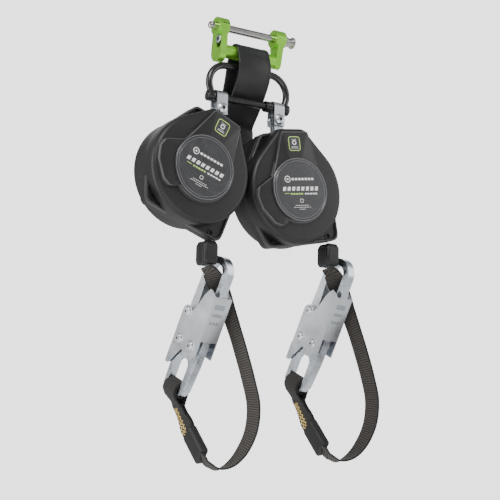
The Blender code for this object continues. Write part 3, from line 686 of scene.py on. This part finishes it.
def make_front_cover(side):
    """The dome, the flange with its lip, and the raised panel with a bead along its rim; the lip and the bead are
    lighter grey, painted highlight.
    """
    dome = polar_radii(dome_outline(), softness=2)
    rim = CASE_SPLIT_Y - GAP / 2
    outer = [(rim - 0.6, CASE_WALL), (rim - 0.6, 0.6), (rim - FLANGE_THICKNESS - 1, 0.4)]
    outer += [(rim - FLANGE_THICKNESS - 1.6, 0.2)] + shoulder(-20, CASE_FRONT_Y, 7, 0.8)
    inner = [(CASE_FRONT_Y + CASE_WALL, 10), (CASE_FRONT_Y + CASE_WALL + 4, CASE_WALL + 1)]
    profile = outer[::-1] + [(rim - 1, CASE_WALL + 0.4)] + inner[::-1]
    unit_piece(side, "dome", radial_loft(dome, profile), PLASTIC, replaces=(f"front_cover_{side}",), sharp=30)
    flange = polar_radii(flange_outline(), softness=2)
    edge = [(v.x, v.z) for v in radial_ring(flange, 0, 1)]
    holes = [circle(centre, 2.9, 24) for centre in SCREWS]
    plate = prism(edge, rim - FLANGE_THICKNESS + 1.2, rim - 0.2, holes, "xzy")
    unit_piece(side, "flange", plate, PLASTIC)
    top = rim - FLANGE_THICKNESS
    lip = [(rim, 1.0), (rim, 0.5), (rim - 0.5, 0), (top - 0.4, 0), (top - 1.4, 1.0), (top - 1.4, 3.2),
           (top + 0.4, 4.6), (top + 2.0, 4.6), (rim - 0.4, 4.0)]
    # The lip in lighter grey: painted highlight along the flange's edge.
    unit_piece(side, "flange_lip", radial_loft(flange, lip, closed=True), LIP_HIGHLIGHT)
    panel = polar_radii(raised_panel_outline(), 360, softness=2)
    face = CASE_FRONT_Y - PANEL_HEIGHT
    steps = [(CASE_FRONT_Y + 3, 0.6), (CASE_FRONT_Y + 1, -0.4), (CASE_FRONT_Y - 0.4, -0.4)]
    steps += [(face + 0.7, 2.4), (face + 0.2, 3.1), (face, 4.0)]
    unit_piece(side, "raised_panel", radial_loft(panel, steps), PANEL)
    # The bead round the panel, in lighter grey: painted highlight on the panel's edge.
    bead = [(face + 1.4, 1.2), (face + 0.4, 1.3), (face - 0.2, 1.9), (face - 0.3, 2.5), (face - 0.1, 3.1),
            (face + 0.6, 3.5), (face + 1.4, 3.4)]
    unit_piece(side, "panel_bead_painted_highlight", radial_loft(panel, bead, closed=True), RIDGE_HIGHLIGHT)
    make_screws(side, top)
    make_seams(side)


def make_screws(side, top):
    screws = []
    collars = []
    for x, z in SCREWS:
        head = [(top + 2.6, 0), (top + 2.6, 1.2), (top + 1.8, 1.3), (top + 1.8, 2.2), (top + 2.2, 2.6),
                (top + 4.6, 2.6), (top + 4.6, 0)]
        screws.append(lathe(head, 24, "y", (x, 0, z)))
        ring = [(top + 1.3, 2.9), (top + 0.5, 2.9), (top + 0.2, 3.2), (top + 0.2, 4.2), (top + 1.3, 4.8)]
        collars.append(round_ring(ring, 32, x, z))
    unit_piece(side, "case_screws", gather(screws), BLACK_AND_RECESS_SHADE)
    unit_piece(side, "screw_collars", gather(collars), PLASTIC)


def make_seams(side):
    """Short joint lines on the dome, beside and below the disc."""
    seams = []
    y = CASE_FRONT_Y
    for angle, start, stop in ((24, 50, 66), (-88, 50, 66)):
        a = math.radians(angle)
        line = [(r * math.cos(a), r * math.sin(a)) for r in (start, stop)]
        seams.append(ribbon(line, 0.7, y - 0.08, y + 0.4))
    unit_piece(side, "seams", gather(seams), BLACK_AND_RECESS_SHADE)


def make_back_cover(side):
    """The flange's half behind the seam, then the round drum housing with its ribs and screws."""
    band = polar_radii(flange_outline(), softness=2)
    drum = []
    for i, radius in enumerate(band):
        upward = math.sin(math.tau * i / len(band))
        keep = min(1.0, max(0.0, (upward - 0.62) / 0.14))
        drum.append(CASE_RADIUS + (radius - CASE_RADIUS) * keep)
    seam = CASE_SPLIT_Y + GAP / 2
    levels = [(seam, CASE_WALL, band), (seam, 0.7, band), (seam + 0.6, 0.1, band), (seam + 9.4, 0.0, band),
              (seam + 10.0, 0.6, band), (seam + 10.2, 2.4, band), (seam + 11.0, 2.6, drum), (14, 1.6, drum)]
    levels += [(y, step_in, drum) for y, step_in in shoulder(16, CASE_BACK_Y, 8, 1.6)]
    levels = levels[::-1] + [(seam + 1, CASE_WALL + 0.2, band), (CASE_BACK_Y - 7, CASE_WALL + 3, drum),
                             (CASE_BACK_Y - CASE_WALL, 12, drum)]
    rings = [radial_ring(radii, y, step_in) for y, step_in, radii in levels]
    unit_piece(side, "back_shell", loft(rings), PLASTIC, replaces=(f"back_cover_{side}",), sharp=30)
    ribs = []
    face = CASE_BACK_Y
    for outer_r, inner_r in ((52, 49.5), (34, 31.5)):
        ring = [(face - 0.4, inner_r - 0.5), (face + 0.5, inner_r), (face + 0.5, outer_r),
                (face - 0.4, outer_r + 0.5)]
        ribs.append(round_ring(ring, 96))
    hub = [(face - 0.4, 0), (face - 0.4, 14), (face + 0.9, 13), (face + 0.9, 8), (face + 0.2, 7.6),
           (face + 0.2, 0)]
    ribs.append(lathe(hub[::-1], 64))
    for k in range(6):
        a = math.radians(30 + 60 * k)
        line = [(r * math.cos(a), r * math.sin(a)) for r in (14, 31)]
        ribs.append(ribbon(line, 2.0, face - 0.4, face + 0.5))
    unit_piece(side, "back_ribs", gather(ribs), PLASTIC)
    screws = []
    for x, z in ((-40, 44), (44, 44), (-46, -40), (50, -40)):
        head = [(face - 0.4, 0), (face - 0.4, 3.2), (face + 0.6, 3.2), (face + 1.0, 2.6), (face + 1.0, 1.3),
                (face + 0.2, 1.2), (face + 0.2, 0)]
        screws.append(lathe(head[::-1], 24, "y", (x, 0, z)))
    unit_piece(side, "back_screws", gather(screws), BLACK_STEEL)


def make_disc(side):
    """The round label with its rings, contour lines and plain marks in place of print."""
    matrix = UNIT[side] @ Matrix.Rotation(LABEL_TURN[side], 4, "Y")
    front = DISC_FRONT_Y
    back = front + 2.0
    r = DISC_RADIUS
    profile = [(back, 0), (back, r), (front + 0.7, r), (front, r - 0.8), (front, r - 2.2)]
    profile += [(front + 0.35, r - 2.6), (front + 0.35, r - 3.4), (front, r - 3.8), (front, 0)]
    unit_piece(side, "disc", lathe(profile, 128), LABEL, matrix, (f"label_disc_{side}",), 20)

    low = front - 0.12
    high = front + 0.1
    rings = [ribbon(circle((0, 0), radius, 120), width, low, high, True)
             for radius, width in ((r - 1.4, 0.5), (r - 4.6, 0.35))]

    contours = []
    limit = r - 5.6
    for k in range(7):
        radius = 8 + 8.5 * k
        line = []
        for i in range(181):
            a = math.radians(2 * i)
            wave = radius * (1 + 0.05 * math.sin(3 * a + k) + 0.03 * math.sin(5 * a + 2 * k))
            point = (6 + wave * math.cos(a), 16 + wave * math.sin(a))
            if math.hypot(*point) < limit:
                line.append(point)
            elif len(line) > 3:
                contours.append(ribbon(line, 0.3, low + 0.05, high))
                line = []
        if len(line) > 3:
            contours.append(ribbon(line, 0.3, low + 0.05, high))

    white = [ribbon(circle((-19, 14), 4.0, 40), 1.1, low, high, True)]
    white.append(bar_mark(-20.2, 12.8, 2.4, 2.4, low, high))
    white += [bar_mark(-12.5 + 5.2 * k, 12.4, 3.7, 3.0, low, high) for k in range(7)]
    for k in range(8):
        x = -28.5 + 7.3 * k
        slant = [(x, -1.6), (x + 4.6, -1.6), (x + 6.0, 3.6), (x + 1.4, 3.6)]
        white.append(prism(slant, low, high, (), "xzy"))
    white += [bar_mark(6 + 4.2 * k, -6.8, 3.1, 2.0, low, high) for k in range(5)]
    white.append(ribbon(rounded_rectangle(4.4, 4.4, 1.0), 0.6, low, high, True))
    white[-1].transform(Matrix.Translation((0, 0, -15)))
    for row, (half, count) in enumerate(((11, 9), (14, 11), (5, 4))):
        pitch = 2 * half / count
        z = -21.5 - 2.6 * row
        white += [bar_mark(-half + pitch * k, z, pitch * 0.7, 0.6, low, high) for k in range(count)]
    green = [bar_mark(-26, -5.6, 7.5, 0.7, low, high)]
    green += [bar_mark(-16.5 + 4.1 * k, -6.8, 3.1, 2.0, low, high) for k in range(5)]
    prints = (("rings", rings, PRINT_LINE), ("contours", contours, PRINT_CONTOUR),
              ("marks", white, PRINT_WHITE), ("green", green, PRINT_GREEN))
    for name, shapes, ink in prints:
        unit_piece(side, f"disc_{name}", gather(shapes), ink, matrix)


def make_badge(side):
    """The small badge above the disc: a dark plate, a green outline and plain marks."""
    face = CASE_FRONT_Y - PANEL_HEIGHT
    matrix = UNIT[side] @ Matrix.Translation((BADGE_CENTRE[0], 0, BADGE_CENTRE[1]))
    plate = prism(rounded_rectangle(19, 20, 4), face - 0.25, face + 0.2, (), "xzy")
    unit_piece(side, "badge", plate, LABEL, matrix)
    outline = ribbon(rounded_rectangle(17.6, 18.6, 3.6), 0.9, face - 0.36, face, True)
    unit_piece(side, "badge_outline", outline, PRINT_GREEN, matrix)
    low = face - 0.36
    marks = [ribbon(circle((0, 1.4), 2.6, 32), 1.3, low, face, True)]
    marks += [bar_mark(-3.6 + 2.5 * k, 5.4, 1.9, 0.5, low, face) for k in range(3)]
    marks += [bar_mark(-4.6 + 2.4 * k, -4.6, 1.8, 0.6, low, face) for k in range(4)]
    marks += [bar_mark(-5.4 + 2.3 * k, -6.2, 1.7, 0.6, low, face) for k in range(5)]
    unit_piece(side, "badge_marks", gather(marks), PRINT_WHITE, matrix)


def make_unit(side):
    make_front_cover(side)
    make_back_cover(side)
    make_disc(side)
    make_badge(side)
    softened(f"link_{side}", 0.7, ZINC, 3)
    softened(f"link_bolt_{side}", 0.5, ZINC, 3)
    softened(f"anchor_bracket_{side}", 0.4, ZINC, 2)
    bolt = joint_point(f"unit_roll_{side}") / MM
    low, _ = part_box(f"link_bolt_{side}")
    head_y = low.y / MM
    # A black hexagon in the bolt's head: painted shade of its hex socket.
    socket = prism(circle((bolt.x, bolt.z), 2.7, 6), head_y - 0.1, head_y + 1.2, (), "xzy")
    piece(f"bolt_socket_shade_{side}", socket, BLACK_AND_RECESS_SHADE, f"link_{side}", ROOT, ())


# Connector, strap and shackle


def make_connector():
    """The two arms, bolt, pin and slider, with black discs of painted shade in the boss's dimples, the slider's
    hex socket and its slot, and plain marks on the pin.
    """
    softened("left_arm", 0.9, GREEN, 3)
    softened("right_arm", 0.9, GREEN, 3)
    softened("bolt_spacer", 0.6, GREEN, 2)
    softened("cross_bolt", 0.5, STEEL, 2)
    softened("lock_pin", 0.35, PIN_STEEL, 2)
    softened("lock_slider", 0.35, STEEL, 2)
    low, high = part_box("lock_slider")
    middle = (low + high) / 2 / MM
    # A black hexagon in the slider: painted shade of its hex socket.
    socket = prism(circle((middle.y, middle.z), 2.7, 6), low.x / MM - 0.1, low.x / MM + 1.5, (), "yzx")
    piece("slider_socket_shade", socket, BLACK_AND_RECESS_SHADE, "lock_slider", ROOT, ())
    # A black plate behind the slider's slot: painted shade in the slot.
    slot_shade = prism(hull_of(circle((middle.y, middle.z), 5.9), circle((middle.y, middle.z - 6), 5.9)),
                    low.x / MM + 5.9, low.x / MM + 6.4, (), "yzx")
    piece("slider_slot_shade", slot_shade, BLACK_AND_RECESS_SHADE, "connector", ROOT, ())

    boss_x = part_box("left_arm")[0].x / MM
    # Black discs on the boss: painted shade in its dimples.
    dimples = []
    for k in range(3):
        x = boss_x + 5.6 + 3.6 * k
        angle = math.radians(DETAIL_ANGLE)
        facing = Vector((0, math.cos(angle), math.sin(angle)))
        turn = facing.to_track_quat("Z", "Y").to_matrix().to_4x4()
        dimple = lathe([(-0.6, 0), (-0.6, 1.0), (0.28, 1.0), (0.28, 0)][::-1], 24, "z")
        dimple.transform(Matrix.Translation(Vector((x, 0, 0)) + facing * BOSS_RADIUS) @ turn)
        dimples.append(dimple)
    piece("boss_dimple_shade", gather(dimples), BLACK_AND_RECESS_SHADE, "connector", ROOT, ())

    marks = []
    for k, height in enumerate((2.4, 2.4, 1.2, 2.4, 0, 2.4, 1.2, 2.4, 2.4, 0, 1.2, 2.4)):
        if not height:
            continue
        x = -17 + 3.0 * k
        for step in range(int(height / 0.6)):
            angle = math.radians(DETAIL_ANGLE - 8 * step)
            facing = Vector((0, math.cos(angle), math.sin(angle)))
            turn = facing.to_track_quat("Z", "X").to_matrix().to_4x4()
            mark = prism(rounded_rectangle(0.8, 0.8, 0.2, 2), -0.2, 0.06)
            mark.transform(Matrix.Translation(Vector((x, 0, 0)) + facing * PIN_RADIUS) @ turn)
            marks.append(mark)
    piece("pin_marks", gather(marks), BLACK_AND_RECESS_SHADE, "lock_pin", ROOT, ())


def flat_section(width, thickness, edge=0.8):
    """A webbing strip's cross-section with rounded selvedges."""
    w = width / 2
    t = thickness / 2
    left = [(-w, t * 0.35), (-w + edge * 0.4, t * 0.85), (-w + edge, t)]
    top = left + [(-u, v) for u, v in left[::-1]]
    return top + [(u, -v) for u, v in top[::-1]]


def stitches(points, sides, across, lift, pitch, length, thickness):
    """A row of short stitches along a strip, lift above its middle."""
    spots, directions = resample(points, sides, pitch)
    rows = []
    for i in range(1, len(spots) - 1):
        along, side, through = directions_at(spots, directions, i)
        centre = spots[i] + side * across + through * lift
        turn = Matrix((side, along, through)).transposed().to_4x4()
        outline = rounded_rectangle(thickness, length, thickness * 0.45, 3)
        stitch = prism(outline, -thickness / 2, thickness / 2)
        stitch.transform(Matrix.Translation(centre) @ turn)
        rows.append(stitch)
    return rows


def make_strap():
    """The wide strap from the energy absorber over the spacer and back."""
    low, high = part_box("bolt_spacer")
    centre = (low + high) / 2 / MM
    centre.x = STRAP_FRONT[-1][0]
    radius = (high.z - low.z) / 2 / MM + 3 * GAP + 1.5
    front = [Vector(point) for point in (STRAP_TUCK[0], *STRAP_FRONT)]
    over = [centre + Vector((0, radius * math.cos(a), radius * math.sin(a)))
            for a in (math.radians(d) for d in range(180, -1, -30))]
    back = [Vector(point) for point in (*STRAP_BACK, STRAP_TUCK[1])]
    points = smooth_route(front + over + back, 6)
    sides = [Vector((1, 0, 0))] * len(points)
    strap = sweep(points, sides, lambda at: flat_section(STRAP_WIDTH, 3.0, 1.2))
    piece("strap", strap, STRAP, "connector", ROOT, ("strap_loop",), 50)
    rows = []
    for across in (-22.2, -20.2, 20.2, 22.2):
        rows += stitches(points, sides, across, 1.5, 3.2, 2.5, 0.55)
        rows += stitches(points, sides, across, -1.5, 3.2, 2.5, 0.55)
    piece("strap_stitches", gather(rows), THREAD_BLACK, "connector", ROOT, ())


def make_absorber():
    """The folded energy absorber in its sewn cover, with layered edges and stitching across its top."""
    low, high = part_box("absorber_pack")
    low = low / MM
    high = high / MM
    centre = (low + high) / 2
    width = high.x - low.x
    depth = high.y - low.y
    steps = 60
    rings = []
    for k in range(steps + 1):
        t = k / steps
        z = high.z + (low.z - high.z) * t
        end = min(t, 1 - t) * (high.z - low.z)
        swell = min(1.0, math.sqrt(max(end, 0.15) / 6.0))
        fold = 0.25 * math.cos(math.tau * t * 9)
        ring = []
        corner = min(5.5, depth * swell * 0.42)
        for u, v in rounded_rectangle(width - 1.2, depth * swell - 0.8 + fold, corner, 8):
            crown = 1 - (u / (width / 2)) ** 2
            v += math.copysign(0.5 * crown * swell, v)
            ring.append(Vector((centre.x + u, centre.y + v, z)))
        rings.append(ring)
    cover = loft(rings)
    layer = cover.verts.layers.float_vector.new("lay")
    for vert in cover.verts:
        vert[layer] = (vert.co.x - centre.x, vert.co.z, vert.co.y)
    pack = piece("absorber_cover", cover, STRAP, "connector", ROOT, ("absorber_pack",), 50)
    rows = []
    front = low.y + 0.1
    for z in (high.z - 8, high.z - 11, low.z + 8, low.z + 11):
        line = [Vector((centre.x - width / 2 + 5 + k, front, z)) for k in range(int(width - 9))]
        rows += stitches(line, [Vector((0, 0, 1))] * len(line), 0, -0.1, 3.0, 2.3, 0.6)
        line = [point + Vector((0, depth - 0.2, 0)) for point in line]
        rows += stitches(line, [Vector((0, 0, 1))] * len(line), 0, 0.1, 3.0, 2.3, 0.6)
    piece("absorber_stitches", gather(rows), THREAD_BLACK, "connector", ROOT, ())


def make_shackle():
    """The omega bow as one bent rod, its two lugs, the bar and the collar."""
    softened("shackle_pin", 0.5, BLACK_STEEL, 3)
    softened("shackle_collar", 0.3, BLACK_STEEL, 2)
    bar = joint_point("link_swing_left").z / MM
    top = joint_point("shackle_swing").z / MM
    w = BOW_HALF_WIDTH
    r = BOW_CORNER_RADIUS
    left = arc((-w + r, top - r), r, 180 + BOW_TUCK, 90, 36)
    right = [(-x, z) for x, z in left[::-1]]
    lug = -left[0][0]
    outline = [(-lug, bar + 6)] + left + right + [(lug, bar + 6)]
    points = [Vector((x, 0, z)) for x, z in outline]
    bow = sweep(points, [Vector((0, 1, 0))] * len(points), lambda at: circle((0, 0), BOW_ROD_RADIUS, 32))
    piece("shackle_rod", bow, BLACK_STEEL, "shackle", ROOT, ("shackle_bow",), 30)
    lugs = []
    for x in (-lug, lug):
        hole = circle((0, bar), BAR_RADIUS + GAP, 40)
        rim = circle((0, bar), LUG_RADIUS, 48)
        ring = prism(rim, x - LUG_HALF_LENGTH, x + LUG_HALF_LENGTH, [hole], "yzx")
        lugs.append(bevelled(ring, 1.6, 3))
    piece("shackle_lugs", gather(lugs), BLACK_STEEL, "shackle", ROOT, (), 30)


# Webbing leg


def ribbed_section(at, width=WEB_WIDTH, thickness=WEB_THICKNESS):
    """The lifeline's cross-section a distance along: ribs between smooth selvedges."""
    w = width / 2
    t = thickness / 2
    rib = t - 0.42 * (0.5 + 0.5 * math.cos(math.tau * at / WEB_RIB))
    top = [(-w, t * 0.3), (-w + 0.25, t * 0.75), (-w + 0.9, t), (-w + 1.5, rib), (-w / 2, rib), (0, rib)]
    top += [(-u, v) for u, v in top[-2::-1]]
    return top + [(u, -v) for u, v in top[::-1]]


def make_bumper(side):
    """The moulded stop round the webbing, with upright ridges and rounded ends."""
    loop = rounded_rectangle(BUMPER_WIDTH, BUMPER_DEPTH, BUMPER_CORNER, 12)
    fine = []
    for a, b in zip(loop, loop[1:] + loop[:1]):
        count = max(1, int(math.dist(a, b) / 0.7))
        for k in range(count):
            fine.append((a[0] + (b[0] - a[0]) * k / count, a[1] + (b[1] - a[1]) * k / count))
    rings = []
    ends = [(-1.2, 4.6), (-1.5, 3.6), (-2.2, 2.7), (-6.4, 0.4), (-8.2, 0.0),
            (-26.0, 0.0), (-28.2, 0.4), (-30.8, 1.7), (-31.5, 2.6), (-31.8, 3.8)]
    for z, step_in in ends:
        ring = []
        for x, y in fine:
            ridge = 0.42 * max(-1.0, min(1.0, 2.2 * math.cos(math.tau * y / 8.4))) if abs(x) > 7 else 0.0
            if abs(y) > 11.5:
                ridge = 0.0
            outward = Vector((x, y)).normalized()
            along_x = x - outward.x * step_in + math.copysign(ridge, x)
            ring.append(Vector((along_x, y - outward.y * step_in, z)))
        rings.append(ring)
    piece(f"bumper_moulding_{side}", loft(rings), RUBBER, f"leg_{side}", LEG[side], (f"bumper_{side}",),
          35)


def make_lifeline(side):
    """The ribbed webbing from the bumper round to its sewn end."""
    points = smooth_route([Vector(p) for p in WEB_ROUTE], 16)
    sides = smooth_route([Vector(s) for s in WEB_SIDE], 16)
    points, sides = resample(points, sides, WEB_RIB / 6)
    web = sweep(points, sides, ribbed_section)
    obj = piece(f"webbing_{side}", web, LIFELINE, f"leg_{side}", LEG[side], (f"lifeline_{side}",),
                60)
    ends = make_sewn_end(side, points[-1], (points[-1] - points[-7]).normalized())


def make_sewn_end(side, end, rise):
    """The end folded round the hook's bushing in a darker webbing of painted shade, its gold zigzag stitching and
    its black sleeve.
    """
    to_leg = LEG[side].inverted() @ HOOK[side]
    p, q = EYE_BAR
    turn = math.radians(TAIL_TURN)
    axis = Vector((p, q, 0))
    down = Vector((0, math.cos(turn), math.sin(turn)))
    out = Vector((0, -math.sin(turn), math.cos(turn)))
    bar = [to_leg @ (axis + down * FORK_DISTANCE), *(Vector(point) for point in SEWN_ROUTE), end + rise * 1.2]
    tail = smooth_route(bar, 8)
    across = (to_leg.to_3x3() @ Vector((1, 0, 0))).normalized()
    near = (to_leg.to_3x3() @ out).normalized()
    tail_sides = [across.lerp(Vector((0, -1, -0.4)), i / (len(tail) - 1)) for i in range(len(tail))]
    leaves = []
    for sign in (1, -1):
        leaf = []
        for i, point in enumerate(tail):
            normal = directions_at(tail, tail_sides, i)[2]
            if i == 0:
                facing = 1 if normal.dot(near) > 0 else -1
            leaf.append(point + normal * facing * sign * PLY_OFFSET)
        leaves.append(leaf)
    loop = [to_leg @ (axis + down * 8.5 + out * 9.6)]
    loop += [to_leg @ (axis + (out * math.cos(a) - down * math.sin(a)) * SEWN_BEND_RADIUS)
             for a in (math.radians(12 * k) for k in range(16))]
    loop += [to_leg @ (axis + down * 8.5 - out * 9.6)]
    points = leaves[0][::-1] + loop + leaves[1]
    sides = tail_sides[::-1] + [across] * len(loop) + tail_sides
    points, sides = resample(points, sides, 2.4)
    points = smooth_route(points, 3)
    sides = smooth_route(sides, 3)
    points, sides = resample(points, sides, WEB_RIB / 6)
    body = f"leg_{side}"
    band = sweep(points, sides, lambda at: ribbed_section(at, WEB_WIDTH, 2.7))
    # The folded end in the darker webbing: painted shade.
    sewn = piece(f"sewn_loop_{side}", band, SEWN_WEB_SHADE, body, LEG[side], (f"sewn_end_{side}",), 60)

    rows = []
    steps, directions = resample(tail, tail_sides, 1.0)
    for facing_side in (1, -1):
        for column in (-7.6, -2.4):
            line = []
            for i in range(5, len(steps) - 32):
                _, side_way, normal = directions_at(steps, directions, i)
                swing = 2.3 * (abs(i % 6 - 3) - 1.5) / 1.5
                lift = normal * facing_side * (PLY_OFFSET + 1.5)
                line.append(steps[i] + side_way * (column + swing) + lift)
            rows.append(sweep(line, [Vector((1, 0.3, 0))] * len(line), lambda at: circle((0, 0), 0.75, 6)))
    thread = piece(f"zigzag_{side}", gather(rows), THREAD_GOLD, body, LEG[side], (), 60)

    top = tail[-17]
    foot = end - rise * 3.5
    cover_points = [top.lerp(foot, k / 40) for k in range(41)]
    cover_sides = [tail_sides[-4]] * 41
    cover_points, cover_sides = resample(cover_points, cover_sides, 1.0)
    total = len(cover_points)

    def sleeve_section(at):
        close = min(at, total - 1 - at)
        pinch = max(0.0, 1 - close / 2.0)
        return rounded_rectangle(WEB_WIDTH + 2.6 - pinch, SLEEVE_THICKNESS - 1.6 * pinch, 2.6, 5)

    cover = sweep(cover_points, cover_sides, sleeve_section)
    sleeve = piece(f"sleeve_{side}", cover, SLEEVE, body, LEG[side], (), 45)
    return [sewn, thread, sleeve]


# Hook


def make_hook(side):
    """The hook's plates, gate and rivets, with black discs of painted shade in the rivet heads' dimples and plain
    stamped marks.
    """
    softened(f"hook_body_{side}", 1.9, FORGED, 2)
    softened(f"hook_guard_{side}", 0.5, ZINC_SHEET, 2)
    softened(f"hook_gate_{side}", 1.3, ZINC, 3)
    softened(f"hook_lever_{side}", 0.5, ZINC_SHEET, 2)
    softened(f"eye_bushing_{side}", 0.6, RUBBER, 2)
    for name in ("gate_rivet", "lever_rivet", "body_rivet"):
        softened(f"{name}_{side}", 0.4, ZINC, 2)
    body = f"leg_{side}"
    reach = GUARD_HALF_WIDTH + GAP + 2.4
    # Black discs on the rivet heads: painted shade in their dimples.
    dimples = []
    for p, q in ((0, 0), LEVER_PIVOT, BODY_RIVET):
        for sign in (1, -1):
            low, high = sorted((sign * (reach - 0.5), sign * (reach + 0.05)))
            dimples.append(prism(circle((p, q), 1.5, 20), low, high))
    piece(f"rivet_dimple_shade_{side}", gather(dimples), BLACK_AND_RECESS_SHADE, body, HOOK[side], ())

    marks = []
    for k in range(9):
        n = -9 + 1.9 * k
        for q, height in ((-22, 7.0), (-11, 3.2 + 2.4 * (k % 2)), (0, 5.4 - 1.8 * (k % 3))):
            outline = rounded_rectangle(height, 0.8, 0.3, 2)
            mark = prism(outline, GUARD_SPINE_P - 0.3, GUARD_SPINE_P + 0.28, (), "yzx")
            mark.transform(Matrix.Translation((0, q, n)))
            marks.append(mark)
    piece(f"guard_marks_{side}", gather(marks), STAMPED, body, HOOK[side], ())


# Hidden works, camera and studio


def finish_works():
    """Materials of the works inside the units, which stay the CAD's own."""
    looks = {"drum": NYLON, "wound_webbing": LIFELINE, "power_spring": SPRING, "brake_ring": STEEL,
             "pawl_a": STEEL, "pawl_b": STEEL, "drum_shaft": STEEL}
    for side in SIDES:
        for name, material in looks.items():
            frame["nodes"][f"{name}_{side}"].material_slots[0].material = material


def make_camera():
    azimuth = math.radians(CAMERA_AZIMUTH)
    elevation = math.radians(CAMERA_ELEVATION)
    away = Vector((math.sin(azimuth) * math.cos(elevation), -math.cos(azimuth) * math.cos(elevation),
                   math.sin(elevation)))
    data = bpy.data.cameras.new("camera")
    data.lens = CAMERA_LENS
    data.shift_x, data.shift_y = CAMERA_SHIFT
    data.clip_start = 0.05
    data.clip_end = 50
    camera = placed("camera", data)
    camera.location = (Vector(TARGET) + away * CAMERA_DISTANCE) * MM
    look = (-away).to_track_quat("-Z", "Y").to_matrix()
    camera.rotation_euler = (look @ Matrix.Rotation(math.radians(CAMERA_ROLL), 3, "Z")).to_euler()
    bpy.context.scene.camera = camera


def area_light(name, place, size, watts):
    data = bpy.data.lights.new(name, "AREA")
    data.shape = "RECTANGLE"
    data.size, data.size_y = size
    data.energy = watts
    light = placed(name, data)
    light.location = Vector(place) * MM
    aim = (Vector(LIGHT_TARGET) - Vector(place)).normalized()
    light.rotation_euler = aim.to_track_quat("-Z", "Y").to_euler()


def make_studio():
    floor = prism(rounded_rectangle(9000, 9000, 400), FLOOR_Z - 20, FLOOR_Z)
    floor.transform(ROOT)
    mesh = bpy.data.meshes.new("floor")
    floor.to_mesh(mesh)
    floor.free()
    mesh.materials.append(grained("floor_paint", (0.82, 0.82, 0.82), 0.7, mottle=0.01, patch=1.5, depth=0.01,
                                 Emission_Color=(1, 1, 1, 1), Emission_Strength=0.35))
    placed("floor", mesh)

    world = bpy.data.worlds.new("studio")
    bpy.context.scene.world = world
    world.use_nodes = True
    tree = world.node_tree
    seen = add(tree, "ShaderNodeBackground", {"Color": (1, 1, 1, 1), "Strength": BACKDROP_STRENGTH})
    lit = add(tree, "ShaderNodeBackground", {"Color": (0.97, 0.98, 1, 1), "Strength": SKY_STRENGTH})
    ray = add(tree, "ShaderNodeLightPath")
    mixed = add(tree, "ShaderNodeMixShader",
                {0: ray.outputs["Is Camera Ray"], 1: lit.outputs[0], 2: seen.outputs[0]})
    tree.links.new(mixed.outputs[0], tree.nodes["World Output"].inputs["Surface"])

    area_light("key", (-1000, -1300, 1150), (0.8, 0.8), 36)
    area_light("fill", (1500, -1000, 200), (1.2, 1.6), 14)
    area_light("left_strip", (-1500, 300, -200), (0.5, 1.8), 20)
    area_light("low_front", (-300, -1600, -900), (1.4, 0.7), 7)
    area_light("rim", (700, 1400, 600), (1.6, 1.2), 9)


make_camera()
make_connector()
make_strap()
make_absorber()
make_shackle()
for side in SIDES:
    make_unit(side)
    make_bumper(side)
    make_lifeline(side)
    make_hook(side)
finish_works()
make_studio()
